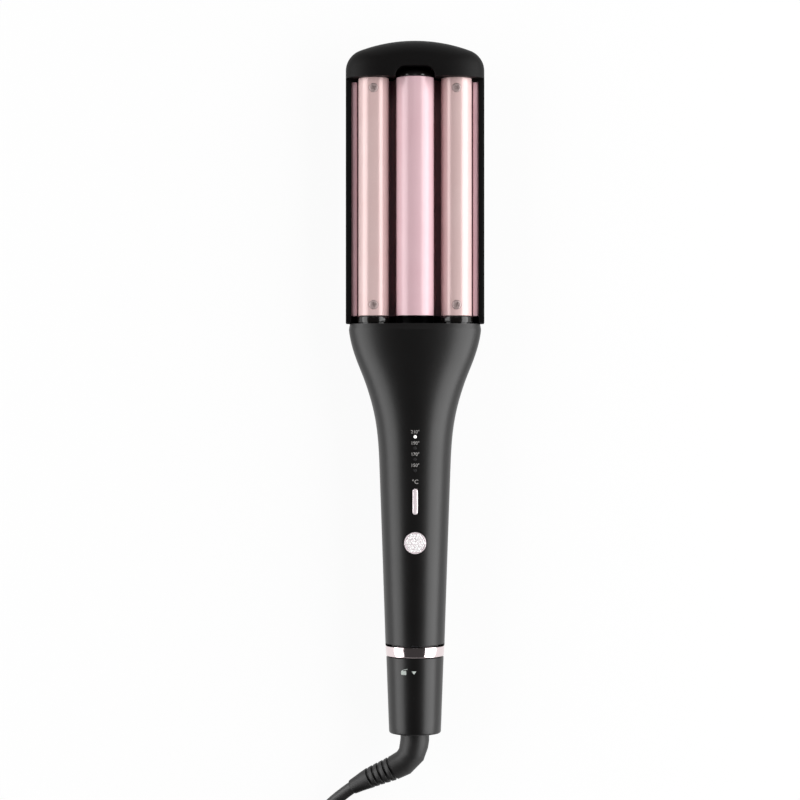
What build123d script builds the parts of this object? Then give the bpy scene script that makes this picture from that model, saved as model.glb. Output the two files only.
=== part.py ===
"""Two-arm hair waver: a rear arm with a W-shaped heated plate, a front arm with two heated barrels.

Frame: millimetres, +Y along the tool towards its tip, +Z from the rear arm up to the front arm.
The origin is under the middle of the tool, on the surface that the rear arm lies on.
"""

from build123d import *
from math import cos, degrees, pi, radians, sin, sqrt, tan
import os

# Lengths along the tool, stacked from the tail to the tip.
END_CAP_LEN = 40.2
TRIM_RING_LEN = 5.3
HANDLE_LEN = 167.0
COLLAR_LEN = 4.0
BARREL_LEN = 123.0
TIP_LEN = 19.5
TOTAL_LEN = END_CAP_LEN + TRIM_RING_LEN + HANDLE_LEN + COLLAR_LEN + BARREL_LEN + TIP_LEN

Y_TAIL = -TOTAL_LEN / 2
Y_RING = Y_TAIL + END_CAP_LEN
Y_HANDLE = Y_RING + TRIM_RING_LEN
Y_SHOULDER = Y_HANDLE + HANDLE_LEN
Y_PLATE = Y_SHOULDER + COLLAR_LEN
Y_PLATE_END = Y_PLATE + BARREL_LEN
Y_TIP = Y_PLATE_END + TIP_LEN

# Clearances.
FIT = 0.05  # fixed pieces that seat on each other
RUN = 0.08  # a shaft turning in its bore
BUTTON_GAP = 0.15  # round a button in its hole
SEAM_GAP = 0.3  # between the two arms where their edges meet

# Barrels, ridge and plate.
BARREL_X = 21.4
BARREL_R = 7.95
BARREL_WALL = 1.0
BARREL_Z = 20.0
HAIR_GAP = 3.7
PLATE_T = 1.2
RIDGE_RISE = 2.0  # straight flank below the ridge's round top
TROUGH_R = BARREL_R + HAIR_GAP
RIDGE_R = BARREL_X - TROUGH_R
RIDGE_Z = BARREL_Z + RIDGE_RISE
PLUG_R = BARREL_R - BARREL_WALL - FIT

# Head housing and tip.
HEAD_WALL = 1.55
HEAD_HALF_W = BARREL_X + TROUGH_R + PLATE_T + 2 * FIT + HEAD_WALL
HEAD_RIM = 17.6  # the housing's sides are upright from here to the seam
HEAD_SEAM = BARREL_Z
TIP_ARC_R = 82.0
TIP_CORNER_R = 11.0
DOME_STEPS = 6
BACK_RUN = 28.0  # how far the round back draws in from each side
NOSE_RUN = 16.0
CAP_TOP = 33.0
CAP_SIDE_RUN = 24.0
CAP_NOSE_RUN = 12.0
END_BLOCK_LEN = 6.0
TROUGH_OVERRUN = 3.0
DECK_T = 1.8

# Handle: half widths of the flare, at even steps back from the shoulder, then a straight taper.
TAIL_R = 15.45
SHOULDER_HALF_W = 34.4
SHOULDER_HALF_D = 16.5
BEVEL_LEN = 2.8
BEVEL_DROP = 1.2
BEVEL_IN = 0.5
FLARE_STEP = 8.4
FLARE = [SHOULDER_HALF_W, 32.95, 30.35, 26.75, 23.85, 21.6, 20.05, 19.15, 18.7]
HANDLE_WALL = 2.0
SEAM_Z = 16.0
FRONT_TAIL_GAP = 1.2
END_WALL = 3.0

# Arm hinge.
PIVOT_BACK = 8.0  # from the tail end of the handle
PIVOT_Z = 24.0
PIVOT_Y = Y_HANDLE + PIVOT_BACK
PIN_R = 1.5
EYE_R = 3.2
EAR_T = 2.0
KNUCKLE_HALF_W = 3.0
EAR_GAP = 0.4
TAIL_WEDGE = 1.1  # drop of the rear seam behind the pivot

# Tail, lock and cord swivel.
CORE_R = 11.0
CORE_BORE = 8.6
NECK_R = 12.2
NECK_LEN = 3.0
RING_R0 = 15.4
RING_R1 = 15.0
COLLAR_R0 = 14.9
COLLAR_R1 = 13.5
SLIDER_W = 4.0
SLIDER_T = 1.7
SLIDER_R = 9.1
LOCK_TRAVEL = 3.0
LOCK_TURN = 40.0
CAM_PIN_R = 1.0
STRAIN_R = 7.5
STRAIN_GAP = 0.6  # round the strain relief where it leaves the end cap

# Controls, each at its share of the board's length.
BOARD_Y0 = Y_HANDLE + 42.0
BOARD_Y1 = Y_SHOULDER - 47.0
BOARD_LEN = BOARD_Y1 - BOARD_Y0
BOARD_Z = 21.4
BOARD_T = 1.6
BOARD_HALF_W = 8.0
BUTTON_Y = BOARD_Y0 + 0.154 * BOARD_LEN
BUTTON_R = 5.75
PILL_Y = BOARD_Y0 + 0.427 * BOARD_LEN
PILL_W = 3.1
PILL_LEN = 13.5
PROUD = 0.5
FIRST_LED_Y = BOARD_Y0 + 0.854 * BOARD_LEN
LED_PITCH = 0.0737 * BOARD_LEN
LED_R = 0.8
LED_COUNT = 4
SWITCH_H = 2.0
PLUNGER_R = 1.7

# Fasteners.
SCREW_R = 1.2
SCREW_HEAD_R = 2.3
BOSS_R = 2.8
BARREL_SCREW_IN = 5.6  # from each end of a barrel
COVER_T = 1.4
COVER_END = Y_HANDLE + 20.5
SPRING_Y = Y_HANDLE + 34.0
SPRING_R = 4.3
SPRING_WIRE = 0.6

# Cord.
CORD_R = 3.25
COIL_R = 35.75  # to the middle turn
COIL_COLUMNS = 3
COIL_ROWS = 3
COIL_X = -29.6
COIL_Y = Y_TAIL - 86.7

BEYOND = 2 * HEAD_HALF_W  # further than any surface, for the reach of cuts


def place(shape, x=0.0, y=0.0, z=0.0):
    return Pos(x, y, z) * shape


def along_y(profile, y_from, y_to):
    """Extrude a profile drawn in (X, Z) from one Y to another."""
    plane = Plane(origin=(0, y_to, 0), x_dir=(1, 0, 0), z_dir=(0, -1, 0))
    return extrude(plane * profile, amount=y_to - y_from)


def across_x(profile, half_w):
    """Extrude a profile drawn in (Y, Z) to both sides of the middle plane."""
    return extrude(Plane.YZ * profile, amount=half_w, both=True)


def rod_y(radius, y_from, y_to, x=0.0, z=0.0):
    return along_y(Pos(x, z) * Circle(radius), y_from, y_to)


def rod_z(radius, z_from, z_to, x=0.0, y=0.0):
    return extrude(Pos(x, y, z_from) * Circle(radius), amount=z_to - z_from)


def cone_y(r_from, r_to, y_from, y_to, z):
    ends = [along_section(y_from, z) * Circle(r_from), along_section(y_to, z) * Circle(r_to)]
    return loft(ends, ruled=True)


def block(x0, x1, y0, y1, z0, z1):
    return Pos((x0 + x1) / 2, (y0 + y1) / 2, (z0 + z1) / 2) * Box(x1 - x0, y1 - y0, z1 - z0)


def slab(y0, y1, z0, z1):
    return block(-BEYOND, BEYOND, y0, y1, z0, z1)


def along_section(y, z):
    """The plane across the tool at one Y, with its origin at height z."""
    return Plane(origin=(0, y, z), x_dir=(1, 0, 0), z_dir=(0, -1, 0))


def both_sides(shape):
    return shape + mirror(shape, about=Plane.YZ)


def screw(head_h, shank_len, flat=False):
    """A cross-head screw standing on its tip; the underside of its head is at z = 0."""
    head = Cone(SCREW_R, SCREW_HEAD_R, head_h) if flat else Cylinder(SCREW_HEAD_R, head_h)
    head = place(head, z=head_h / 2)
    if not flat:
        head = fillet(head.edges().group_by(Axis.Z)[-1], head_h * 0.45)
    shank = rod_z(SCREW_R - FIT, -shank_len, 0.01)
    slot = Box(SCREW_HEAD_R * 1.1, 0.5, 0.9)
    cross = place(slot + Rot(0, 0, 90) * slot, z=head_h)
    return head + shank - cross


# ---- Handle form ----
def half_depth(y):
    share = (y - Y_HANDLE) / HANDLE_LEN
    return TAIL_R + (SHOULDER_HALF_D - TAIL_R) * share


def handle_form(inset):
    """The closed handle shape, drawn in from its surface by inset."""
    rings = []
    for i, half_w in enumerate(FLARE):
        y = Y_SHOULDER - BEVEL_LEN - i * FLARE_STEP
        depth = half_depth(y)
        rings.append(along_section(y, depth) * Ellipse(half_w - inset, depth - inset))
    tail = along_section(Y_HANDLE, TAIL_R) * Ellipse(TAIL_R - inset, TAIL_R - inset)
    depth = half_depth(Y_SHOULDER - BEVEL_LEN)
    rim = Ellipse(SHOULDER_HALF_W - BEVEL_IN - inset, depth - BEVEL_DROP - inset)
    bevel = loft([rings[0], along_section(Y_SHOULDER, depth) * rim], ruled=True)
    return loft([tail, rings[-1]], ruled=True) + loft(rings) + bevel


HANDLE_OUT = handle_form(0)
HANDLE_IN = handle_form(HANDLE_WALL)
HANDLE_MID = handle_form(HANDLE_WALL / 2)
HANDLE_FIT = handle_form(HANDLE_WALL + 0.15)

BOSS_PLACES = [(side * 21.0, Y_SHOULDER - 13.0) for side in (-1, 1)]
BOSS_PLACES += [(side * 11.8, Y_SHOULDER - 67.0) for side in (-1, 1)]
BOSS_PLACES += [(0.0, COVER_END + 3.7)]
FRONT_COVER_Z = SEAM_Z + SEAM_GAP + 0.3
REAR_COVER_TOP = SEAM_Z - 0.2


def front_handle_shell():
    keep = slab(Y_HANDLE + FRONT_TAIL_GAP, Y_SHOULDER, SEAM_Z + SEAM_GAP, BEYOND)
    shell = (HANDLE_OUT - HANDLE_IN) & keep
    bosses = [rod_z(BOSS_R, FRONT_COVER_Z + COVER_T, BEYOND, x, y) for x, y in BOSS_PLACES]
    for side in (-1, 1):
        bosses.append(rod_z(2.3, BRACKET_PLATE_TOP, BEYOND, side * KNUCKLE_SCREW_X, KNUCKLE_SCREW_Y))
    for boss in bosses:
        shell += boss & HANDLE_MID
    for x, y in BOSS_PLACES:
        shell -= rod_z(SCREW_R, 0, FRONT_COVER_Z + COVER_T + 7, x, y)
    for side in (-1, 1):
        shell -= rod_z(SCREW_R, 0, BRACKET_PLATE_TOP + 5, side * KNUCKLE_SCREW_X, KNUCKLE_SCREW_Y)
    shell -= rod_z(BUTTON_R + BUTTON_GAP, 20, BEYOND, 0, BUTTON_Y)
    shell -= pill(BUTTON_GAP, 20, BEYOND)
    for y in led_places():
        shell -= rod_z(LED_R + FIT, 20, BEYOND, 0, y)
    return shell


def rear_handle_shell():
    shell = (HANDLE_OUT - HANDLE_IN) & slab(Y_HANDLE, Y_SHOULDER, -1, SEAM_Z)
    shell += HANDLE_MID & slab(Y_SHOULDER - END_WALL, Y_SHOULDER, -1, SEAM_Z)
    saddle = rod_y(TAIL_R - 0.5, Y_HANDLE, Y_HANDLE + NECK_LEN, z=TAIL_R) & slab(-200, 0, -1, SEAM_Z)
    shell += saddle - rod_y(NECK_R + FIT, Y_HANDLE - 1, Y_HANDLE + 9, z=TAIL_R)
    for x, y in BOSS_PLACES:
        shell += rod_z(BOSS_R, -1, REAR_COVER_TOP - COVER_T, x, y) & HANDLE_MID
    for y in BRACKET_SCREWS:
        shell += rod_z(BOSS_R, -1, BRACKET_Z, 0, y) & HANDLE_MID
    for x, y in BOSS_PLACES:
        shell -= rod_z(SCREW_R, REAR_COVER_TOP - COVER_T - 7, BEYOND, x, y)
    for y in BRACKET_SCREWS:
        shell -= rod_z(SCREW_R, 1.2, BEYOND, 0, y)
    wedge = Polygon(
        (PIVOT_Y - 1, SEAM_Z),
        (Y_HANDLE - 1, SEAM_Z - TAIL_WEDGE),
        (Y_HANDLE - 1, BEYOND),
        (PIVOT_Y - 1, BEYOND),
        align=None,
    )
    shell -= across_x(wedge, BEYOND)
    return shell - rear_wire_slot(Y_SHOULDER - 9, Y_SHOULDER + 1)


# ---- Inner covers, screws and spring ----
SPRING_CUP_R = SPRING_R + SPRING_WIRE + 0.5
SPRING_FLOOR = 6.2


def front_inner_cover():
    bottom = FRONT_COVER_Z
    cover = HANDLE_FIT & slab(COVER_END, Y_SHOULDER - END_WALL - 1, bottom, bottom + COVER_T)
    for x, y in BOSS_PLACES:
        cover -= rod_z(SCREW_R, 0, BEYOND, x, y)
        cover -= place(Cone(SCREW_HEAD_R + FIT, SCREW_R, 1.1), x, y, bottom + 0.55)
    for x, y in board_posts():
        cover += rod_z(2.2, bottom, BOARD_Z, x, y)
        cover -= rod_z(SCREW_R, bottom + 0.6, BEYOND, x, y)
    stud = rod_z(SPRING_R - SPRING_WIRE - 0.3, bottom - 2.4, bottom, 0, SPRING_Y)
    return cover + stud


def rear_inner_cover():
    top = REAR_COVER_TOP
    cover = HANDLE_FIT & slab(COVER_END, Y_SHOULDER - END_WALL - 0.2, top - COVER_T, top)
    cover += rod_z(SPRING_CUP_R + 1, SPRING_FLOOR - 1.2, top, 0, SPRING_Y)
    cover -= rod_z(SPRING_CUP_R, SPRING_FLOOR, BEYOND, 0, SPRING_Y)
    for x, y in BOSS_PLACES:
        cover -= rod_z(SCREW_R, 0, BEYOND, x, y)
        cover -= place(Cone(SCREW_R, SCREW_HEAD_R + FIT, 1.1), x, y, top - 0.55)
    return cover


def cover_screws(rear):
    solids = []
    for x, y in BOSS_PLACES:
        one = screw(1.0, 7.0, flat=True)
        if rear:
            solids.append(place(one, x, y, REAR_COVER_TOP - 1.0))
        else:
            solids.append(place(Rot(180, 0, 0) * one, x, y, FRONT_COVER_Z + 1.0))
    return Compound(children=solids)


def opening_spring():
    """A compression spring that pushes the arms apart."""
    bottom = SPRING_FLOOR + SPRING_WIRE + 0.1
    height = FRONT_COVER_Z - SPRING_WIRE - 0.1 - bottom
    path = Helix(pitch=height / 5, height=height, radius=SPRING_R)
    start = path @ 0
    ring = Plane(origin=start, z_dir=path % 0) * Circle(SPRING_WIRE)
    return place(sweep(ring, path=path, is_frenet=True), 0, SPRING_Y, bottom)


# ---- Arm hinge ----
BRACKET_Z = 4.4
BRACKET_T = 1.4
BRACKET_Y1 = PIVOT_Y + 8.5
BRACKET_SCREWS = [PIVOT_Y - 1.5, PIVOT_Y + 5.5]
BRACKET_PLATE_TOP = 21.6
KNUCKLE_PLATE_T = 2.0
KNUCKLE_SCREW_X = 4.2
KNUCKLE_SCREW_Y = PIVOT_Y + 8.6


def ear_profile():
    foot = Polygon(
        (Y_HANDLE + NECK_LEN + 0.5, BRACKET_Z),
        (BRACKET_Y1, BRACKET_Z),
        (PIVOT_Y + EYE_R, PIVOT_Z - 2),
        (PIVOT_Y + EYE_R, PIVOT_Z),
        (PIVOT_Y - EYE_R, PIVOT_Z),
        (PIVOT_Y - EYE_R, PIVOT_Z - 2),
        align=None,
    )
    return foot + Pos(PIVOT_Y, PIVOT_Z) * Circle(EYE_R)


def hinge_bracket():
    inner = KNUCKLE_HALF_W + EAR_GAP
    outer = inner + EAR_T
    ears = across_x(ear_profile(), outer) - slab_x(inner)
    base = block(-outer, outer, Y_HANDLE + NECK_LEN + 0.5, BRACKET_Y1, BRACKET_Z, BRACKET_Z + BRACKET_T)
    bracket = ears + base - rod_x(PIN_R + FIT, outer + 1)
    for y in BRACKET_SCREWS:
        bracket -= rod_z(SCREW_R, 0, 12, 0, y)
    return bracket


def slab_x(half_w):
    return block(-half_w, half_w, Y_TAIL, Y_TIP, -BEYOND, BEYOND)


def rod_x(radius, half_len, y=PIVOT_Y, z=PIVOT_Z):
    return across_x(Pos(y, z) * Circle(radius), half_len)


def hinge_pin():
    half = KNUCKLE_HALF_W + EAR_GAP + EAR_T + 0.3
    pin = rod_x(PIN_R, half)
    return chamfer(pin.edges().filter_by(GeomType.CIRCLE), 0.3)


def hinge_knuckle():
    """The front arm's eye, its screwed-on plate and the lug that the lock holds."""
    plate_bottom = BRACKET_PLATE_TOP - KNUCKLE_PLATE_T
    plate_y0 = PIVOT_Y + EYE_R + 1.4
    plate = block(-7, 7, plate_y0, KNUCKLE_SCREW_Y + 2.6, plate_bottom, BRACKET_PLATE_TOP)
    tongue = block(-KNUCKLE_HALF_W, KNUCKLE_HALF_W, PIVOT_Y, plate_y0 + 0.5, plate_bottom, PIVOT_Z + 2)
    eye = rod_x(EYE_R, KNUCKLE_HALF_W)
    lug = block(-1.8, 1.8, PIVOT_Y - 4.6, PIVOT_Y, PIVOT_Z + 2.1, PIVOT_Z + 3.1)
    knuckle = plate + tongue + eye + lug - rod_x(PIN_R + RUN, KNUCKLE_HALF_W + 1)
    for side in (-1, 1):
        knuckle -= rod_z(SCREW_R, 0, BEYOND, side * KNUCKLE_SCREW_X, KNUCKLE_SCREW_Y)
    return knuckle


def bracket_screws():
    one = screw(1.2, 3.8)
    return Compound(children=[place(one, 0, y, BRACKET_Z + BRACKET_T) for y in BRACKET_SCREWS])


def knuckle_screws():
    one = Rot(180, 0, 0) * screw(1.2, 6.0)
    z = BRACKET_PLATE_TOP - KNUCKLE_PLATE_T
    return Compound(children=[place(one, s * KNUCKLE_SCREW_X, KNUCKLE_SCREW_Y, z) for s in (-1, 1)])


# ---- Head ----
def head_outline(half_w, top):
    """The head's plan at one height: straight sides, rounded corners and an arched end."""
    share = half_w / HEAD_HALF_W
    arc_r = TIP_ARC_R * share
    corner_y = top - arc_r + sqrt(arc_r**2 - half_w**2)
    sides = Polyline(
        (half_w, corner_y), (half_w, Y_SHOULDER), (-half_w, Y_SHOULDER), (-half_w, corner_y)
    )
    arch = ThreePointArc((-half_w, corner_y), (0, top), (half_w, corner_y))
    plan = make_face(sides + arch)
    return fillet(plan.vertices().group_by(Axis.Y)[-1], TIP_CORNER_R * share)


def domed_head(inset, z_rim, rise, side_run, nose_run):
    """Head plans stacked from the rim to the crown, drawn in along a quarter ellipse."""
    plans = []
    for k in range(DOME_STEPS + 1):
        angle = pi / 2 * k / DOME_STEPS
        drawn_in = 1 - cos(angle)
        half_w = HEAD_HALF_W - inset - (side_run - inset) * drawn_in
        top = Y_TIP - inset - (nose_run - inset) * drawn_in
        plans.append(Pos(0, 0, z_rim + rise * sin(angle)) * head_outline(half_w, top))
    return loft(plans)


def rear_head_form(inset):
    """The rear housing's closed shape: upright rim, then round down to a flat rest."""
    rim = Pos(0, 0, HEAD_RIM) * head_outline(HEAD_HALF_W - inset, Y_TIP - inset)
    back = domed_head(inset, HEAD_RIM, inset - HEAD_RIM, BACK_RUN, NOSE_RUN)
    return back + extrude(rim, amount=HEAD_SEAM - HEAD_RIM)


def trough_cut(y_from, y_to, radius=TROUGH_R):
    rods = [rod_y(radius, y_from, y_to, side * BARREL_X, BARREL_Z) for side in (-1, 1)]
    return rods[0] + rods[1]


def ridge_profile(radius, z_low, half_w):
    return (Pos(0, RIDGE_Z) * Circle(radius)) + (
        Pos(0, (z_low + RIDGE_Z) / 2) * Rectangle(2 * half_w, RIDGE_Z - z_low)
    )


FLANGE_Z = 14.0
PLUG_FOOT = 12.0
PLUG_LEN = 12.0
RIB_PLACES = [Y_PLATE + BARREL_LEN * share for share in (0.2, 0.4, 0.6, 0.8)]
PLUG_SCREW_Y = [Y_PLATE + 6.5, Y_PLATE_END - 6.5]
PLUG_FLANGE_OUT = 0.45
TIP_FLANGE_LEN = 4.5


def rear_head_housing():
    inner = rear_head_form(HEAD_WALL)
    cavity = inner & slab(Y_PLATE, Y_PLATE_END, -1, BEYOND)
    cavity += inner & slab(Y_PLATE_END + END_BLOCK_LEN, Y_TIP, -1, HEAD_SEAM - DECK_T)
    housing = rear_head_form(0) - cavity
    housing -= trough_cut(Y_SHOULDER - 1, Y_PLATE + 0.01)
    housing -= trough_cut(Y_PLATE_END - 0.01, Y_PLATE_END + TROUGH_OVERRUN)
    housing -= slab(Y_SHOULDER - 1, Y_SHOULDER + 0.35, SEAM_Z, BEYOND)
    flange = ridge_profile(RIDGE_R + PLUG_FLANGE_OUT + FIT, FLANGE_Z, RIDGE_R - 0.3 + FIT)
    housing -= along_y(flange, Y_SHOULDER - 1, Y_PLATE + 0.01)
    flange = ridge_profile(RIDGE_R + FIT, FLANGE_Z, RIDGE_R - 0.3 + FIT)
    housing -= along_y(flange, Y_PLATE_END - 0.01, Y_PLATE_END + TIP_FLANGE_LEN + FIT)
    for y in RIB_PLACES:
        rib = rear_head_form(HEAD_WALL / 2) & block(-30, 30, y - 1, y + 1, -1, HEAD_RIM)
        rib -= trough_cut(y - 2, y + 2, TROUGH_R + PLATE_T + FIT)
        housing += rib - block(-RIDGE_R + 0.6, RIDGE_R - 0.6, y - 2, y + 2, PLUG_FOOT, BEYOND)
    for y in PLUG_SCREW_Y:
        housing += rod_z(4.2, HEAD_WALL / 2, PLUG_FOOT, 0, y)
        housing -= rod_z(SCREW_R, -1, BEYOND, 0, y)
        housing -= rod_z(SCREW_HEAD_R + 0.2, -1, 4.0, 0, y)
    return housing - rear_wire_slot(Y_SHOULDER - 1, Y_PLATE + 1)


def wave_plate():
    """Pressed aluminium: trough, ridge, trough."""
    trough = Pos(BARREL_X, BARREL_Z) * (Circle(TROUGH_R + PLATE_T) - Circle(TROUGH_R))
    trough &= Pos(BARREL_X, BARREL_Z - BEYOND / 2) * Rectangle(BEYOND, BEYOND)
    ridge = (Circle(RIDGE_R) - Circle(RIDGE_R - PLATE_T)) & (Pos(0, BEYOND / 2) * Rectangle(BEYOND, BEYOND))
    flank = Pos(RIDGE_R - PLATE_T / 2, BARREL_Z + RIDGE_RISE / 2) * Rectangle(PLATE_T, RIDGE_RISE)
    half = trough + flank
    return along_y(both_sides(half) + Pos(0, RIDGE_Z) * ridge, Y_PLATE, Y_PLATE_END)


def ridge_plug(at_tip):
    """Heat-proof plug that holds one end of the ridge and is screwed to the housing."""
    inside = RIDGE_R - PLATE_T - FIT
    body = ridge_profile(inside, PLUG_FOOT, inside)
    if at_tip:
        plug = along_y(body, Y_PLATE_END - PLUG_LEN, Y_PLATE_END)
        flange = ridge_profile(RIDGE_R, FLANGE_Z, RIDGE_R - 0.3)
        plug += along_y(flange, Y_PLATE_END, Y_PLATE_END + TIP_FLANGE_LEN)
    else:
        plug = along_y(body, Y_PLATE, Y_PLATE + PLUG_LEN)
        flange = ridge_profile(RIDGE_R + PLUG_FLANGE_OUT, FLANGE_Z, RIDGE_R - 0.3)
        plug += along_y(flange, Y_SHOULDER + 0.35, Y_PLATE)
    y = PLUG_SCREW_Y[1] if at_tip else PLUG_SCREW_Y[0]
    return plug - rod_z(SCREW_R, 0, RIDGE_Z, 0, y)


def plug_screws():
    one = Rot(180, 0, 0) * screw(1.2, 16.0)
    return Compound(children=[place(one, 0, y, 4.0) for y in PLUG_SCREW_Y])


HEATER_Z = 20.0
HEATER_T = 4.6
HEATER_HALF_W = 7.0
RIDGE_HEAT_Y0 = Y_PLATE + PLUG_LEN + 8
RIDGE_HEAT_Y1 = Y_PLATE_END - PLUG_LEN - 8


def ridge_saddle():
    arch = Pos(0, RIDGE_Z) * Circle(RIDGE_R - PLATE_T - FIT)
    arch &= Pos(0, HEATER_Z + HEATER_T + BEYOND / 2) * Rectangle(BEYOND, BEYOND)
    return along_y(arch, RIDGE_HEAT_Y0, RIDGE_HEAT_Y1)


def ridge_heater():
    bar = block(
        -HEATER_HALF_W, HEATER_HALF_W, RIDGE_HEAT_Y0, RIDGE_HEAT_Y1, HEATER_Z, HEATER_Z + HEATER_T
    )
    return chamfer(bar.edges().filter_by(Axis.Y), 0.4)


def heater_clamp():
    """Steel channel that stands on the ribs and presses the heater up into the ridge."""
    half = RIDGE_R - PLATE_T - 0.3
    y0, y1 = RIDGE_HEAT_Y0, RIDGE_HEAT_Y1
    channel = block(-half, half, y0, y1, PLUG_FOOT, HEATER_Z)
    return channel - block(-half + 1.2, half - 1.2, y0 - 1, y1 + 1, PLUG_FOOT - 1, HEATER_Z - 1.2)


# ---- Front arm's barrels, collar and tip cap ----
LOBE_R = BARREL_R + 0.5
BARREL_PLUG_LEN = 12.0
BARREL_HEAT_Y0 = Y_PLATE + 16
BARREL_HEAT_Y1 = Y_PLATE_END - 16
BARREL_HEATER_T = 4.6
BARREL_HEATER_HALF_W = 4.9
SCREW_SEAT_Z = BARREL_Z + BARREL_R - 0.5


def barrel_screw_places():
    ys = (Y_PLATE + BARREL_SCREW_IN, Y_PLATE_END - BARREL_SCREW_IN)
    return [(side * BARREL_X, y) for side in (-1, 1) for y in ys]


def cut_barrel_screws(shape):
    for x, y in barrel_screw_places():
        shape -= rod_z(SCREW_R, SCREW_SEAT_Z - 6.5, BEYOND, x, y)
    return shape


def barrel(side):
    tube = Circle(BARREL_R) - Circle(BARREL_R - BARREL_WALL)
    shape = along_y(Pos(side * BARREL_X, BARREL_Z) * tube, Y_PLATE, Y_PLATE_END)
    shape = cut_barrel_screws(shape)
    for x, y in barrel_screw_places():
        shape -= rod_z(SCREW_HEAD_R + 0.1, SCREW_SEAT_Z, BEYOND, x, y)
    return shape


def barrel_heater(side):
    half_w, half_t = BARREL_HEATER_HALF_W, BARREL_HEATER_T / 2
    x = side * BARREL_X
    bar = block(
        x - half_w, x + half_w, BARREL_HEAT_Y0, BARREL_HEAT_Y1, BARREL_Z - half_t, BARREL_Z + half_t
    )
    return chamfer(bar.edges().filter_by(Axis.Y), 0.4)


def barrel_saddles(side):
    """Two half-round aluminium blocks that carry the heat from the bar to the barrel."""
    ring = Circle(PLUG_R) - Rectangle(40, BARREL_HEATER_T)
    profile = Pos(side * BARREL_X, BARREL_Z) * ring
    return along_y(profile, BARREL_HEAT_Y0, BARREL_HEAT_Y1)


def barrel_screws():
    one = screw(1.0, 6.0)
    return Compound(children=[place(one, x, y, SCREW_SEAT_Z) for x, y in barrel_screw_places()])


def front_collar():
    """Back plate inside the shoulder, two lobes and the plugs that carry the barrels."""
    back = HANDLE_FIT & slab(Y_SHOULDER - END_WALL, Y_SHOULDER, SEAM_Z + SEAM_GAP, BEYOND)
    collar = back
    for side in (-1, 1):
        lobe = rod_y(LOBE_R, Y_SHOULDER, Y_PLATE, side * BARREL_X, BARREL_Z)
        lobe = lobe - slab(Y_SHOULDER - 1, Y_SHOULDER + 0.4, -1, SEAM_Z + SEAM_GAP)
        plug = rod_y(PLUG_R, Y_PLATE - 1, Y_PLATE + BARREL_PLUG_LEN, side * BARREL_X, BARREL_Z)
        collar += lobe + plug
        collar -= rod_y(WIRE_R * 2.4, Y_SHOULDER - 9, Y_PLATE + 30, side * BARREL_X, BARREL_Z)
    return cut_barrel_screws(collar)


def front_tip_cap():
    """Hollow arched cap that carries the far ends of the barrels."""
    bottom = HEAD_SEAM + SEAM_GAP
    cap = tip_form(0) & slab(Y_PLATE_END, Y_TIP, bottom, BEYOND)
    cap -= tip_form(HEAD_WALL) & slab(Y_PLATE_END + END_BLOCK_LEN + 1.8, Y_TIP, bottom - 1, BEYOND)
    half = RIDGE_R + 0.45
    cap -= block(-half, half, Y_PLATE_END - 1, Y_PLATE_END + TIP_FLANGE_LEN + 0.8, -1, BEYOND)
    for side in (-1, 1):
        end = Y_PLATE_END + TROUGH_OVERRUN - 0.8
        cap += rod_y(PLUG_R, Y_PLATE_END - BARREL_PLUG_LEN, end, side * BARREL_X, BARREL_Z)
    return cut_barrel_screws(cap)


def tip_form(inset):
    """The tip cap's closed shape: a low dome on the arched plan."""
    rim = HEAD_SEAM + SEAM_GAP
    return domed_head(inset, rim, CAP_TOP - inset - rim, CAP_SIDE_RUN, CAP_NOSE_RUN)


# ---- Controls ----
def pill(grow, z0, z1):
    outline = Pos(0, PILL_Y, z0) * Rot(0, 0, 90) * SlotOverall(PILL_LEN + 2 * grow, PILL_W + 2 * grow)
    return extrude(outline, amount=z1 - z0)


def surface_z(y):
    return 2 * half_depth(y)


def led_places():
    return [FIRST_LED_Y - i * LED_PITCH for i in range(LED_COUNT)]


def board_posts():
    return [(s * 6.0, y) for s in (-1, 1) for y in (BOARD_Y0 + 3, BOARD_Y1 - 3)]


BOARD_TOP = BOARD_Z + BOARD_T
PLUNGER_TOP = BOARD_TOP + SWITCH_H + 1.6


def power_button():
    """Faceted round cap on a flanged stem."""
    top = surface_z(BUTTON_Y) + PROUD
    stem = rod_z(BUTTON_R, PLUNGER_TOP, top - 1.0, 0, BUTTON_Y)
    facets = extrude(Pos(0, BUTTON_Y, top - 1.0) * RegularPolygon(BUTTON_R, 16), amount=1.0, taper=40)
    flange = rod_z(BUTTON_R + 0.9, PLUNGER_TOP, PLUNGER_TOP + 1.0, 0, BUTTON_Y)
    return stem + facets + flange


def temp_button():
    top = surface_z(PILL_Y) + PROUD
    cap = pill(0, PLUNGER_TOP, top)
    cap = fillet(cap.edges().group_by(Axis.Z)[-1], 0.4)
    return cap + pill(0.9, PLUNGER_TOP, PLUNGER_TOP + 1.0)


def plunger(y):
    return rod_z(PLUNGER_R, BOARD_TOP + SWITCH_H - 0.9, PLUNGER_TOP, 0, y)


def switch_base(y):
    base = block(-3, 3, y - 3, y + 3, BOARD_TOP, BOARD_TOP + SWITCH_H)
    return base - rod_z(PLUNGER_R + 0.15, BOARD_TOP + 0.4, BEYOND, 0, y)


def control_board():
    board = block(-BOARD_HALF_W, BOARD_HALF_W, BOARD_Y0, BOARD_Y1, BOARD_Z, BOARD_TOP)
    for x, y in board_posts():
        board -= rod_z(SCREW_R, 0, BEYOND, x, y)
    return board


def board_screws():
    one = screw(1.0, BOARD_T + 3.0)
    return Compound(children=[place(one, x, y, BOARD_TOP) for x, y in board_posts()])


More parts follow.
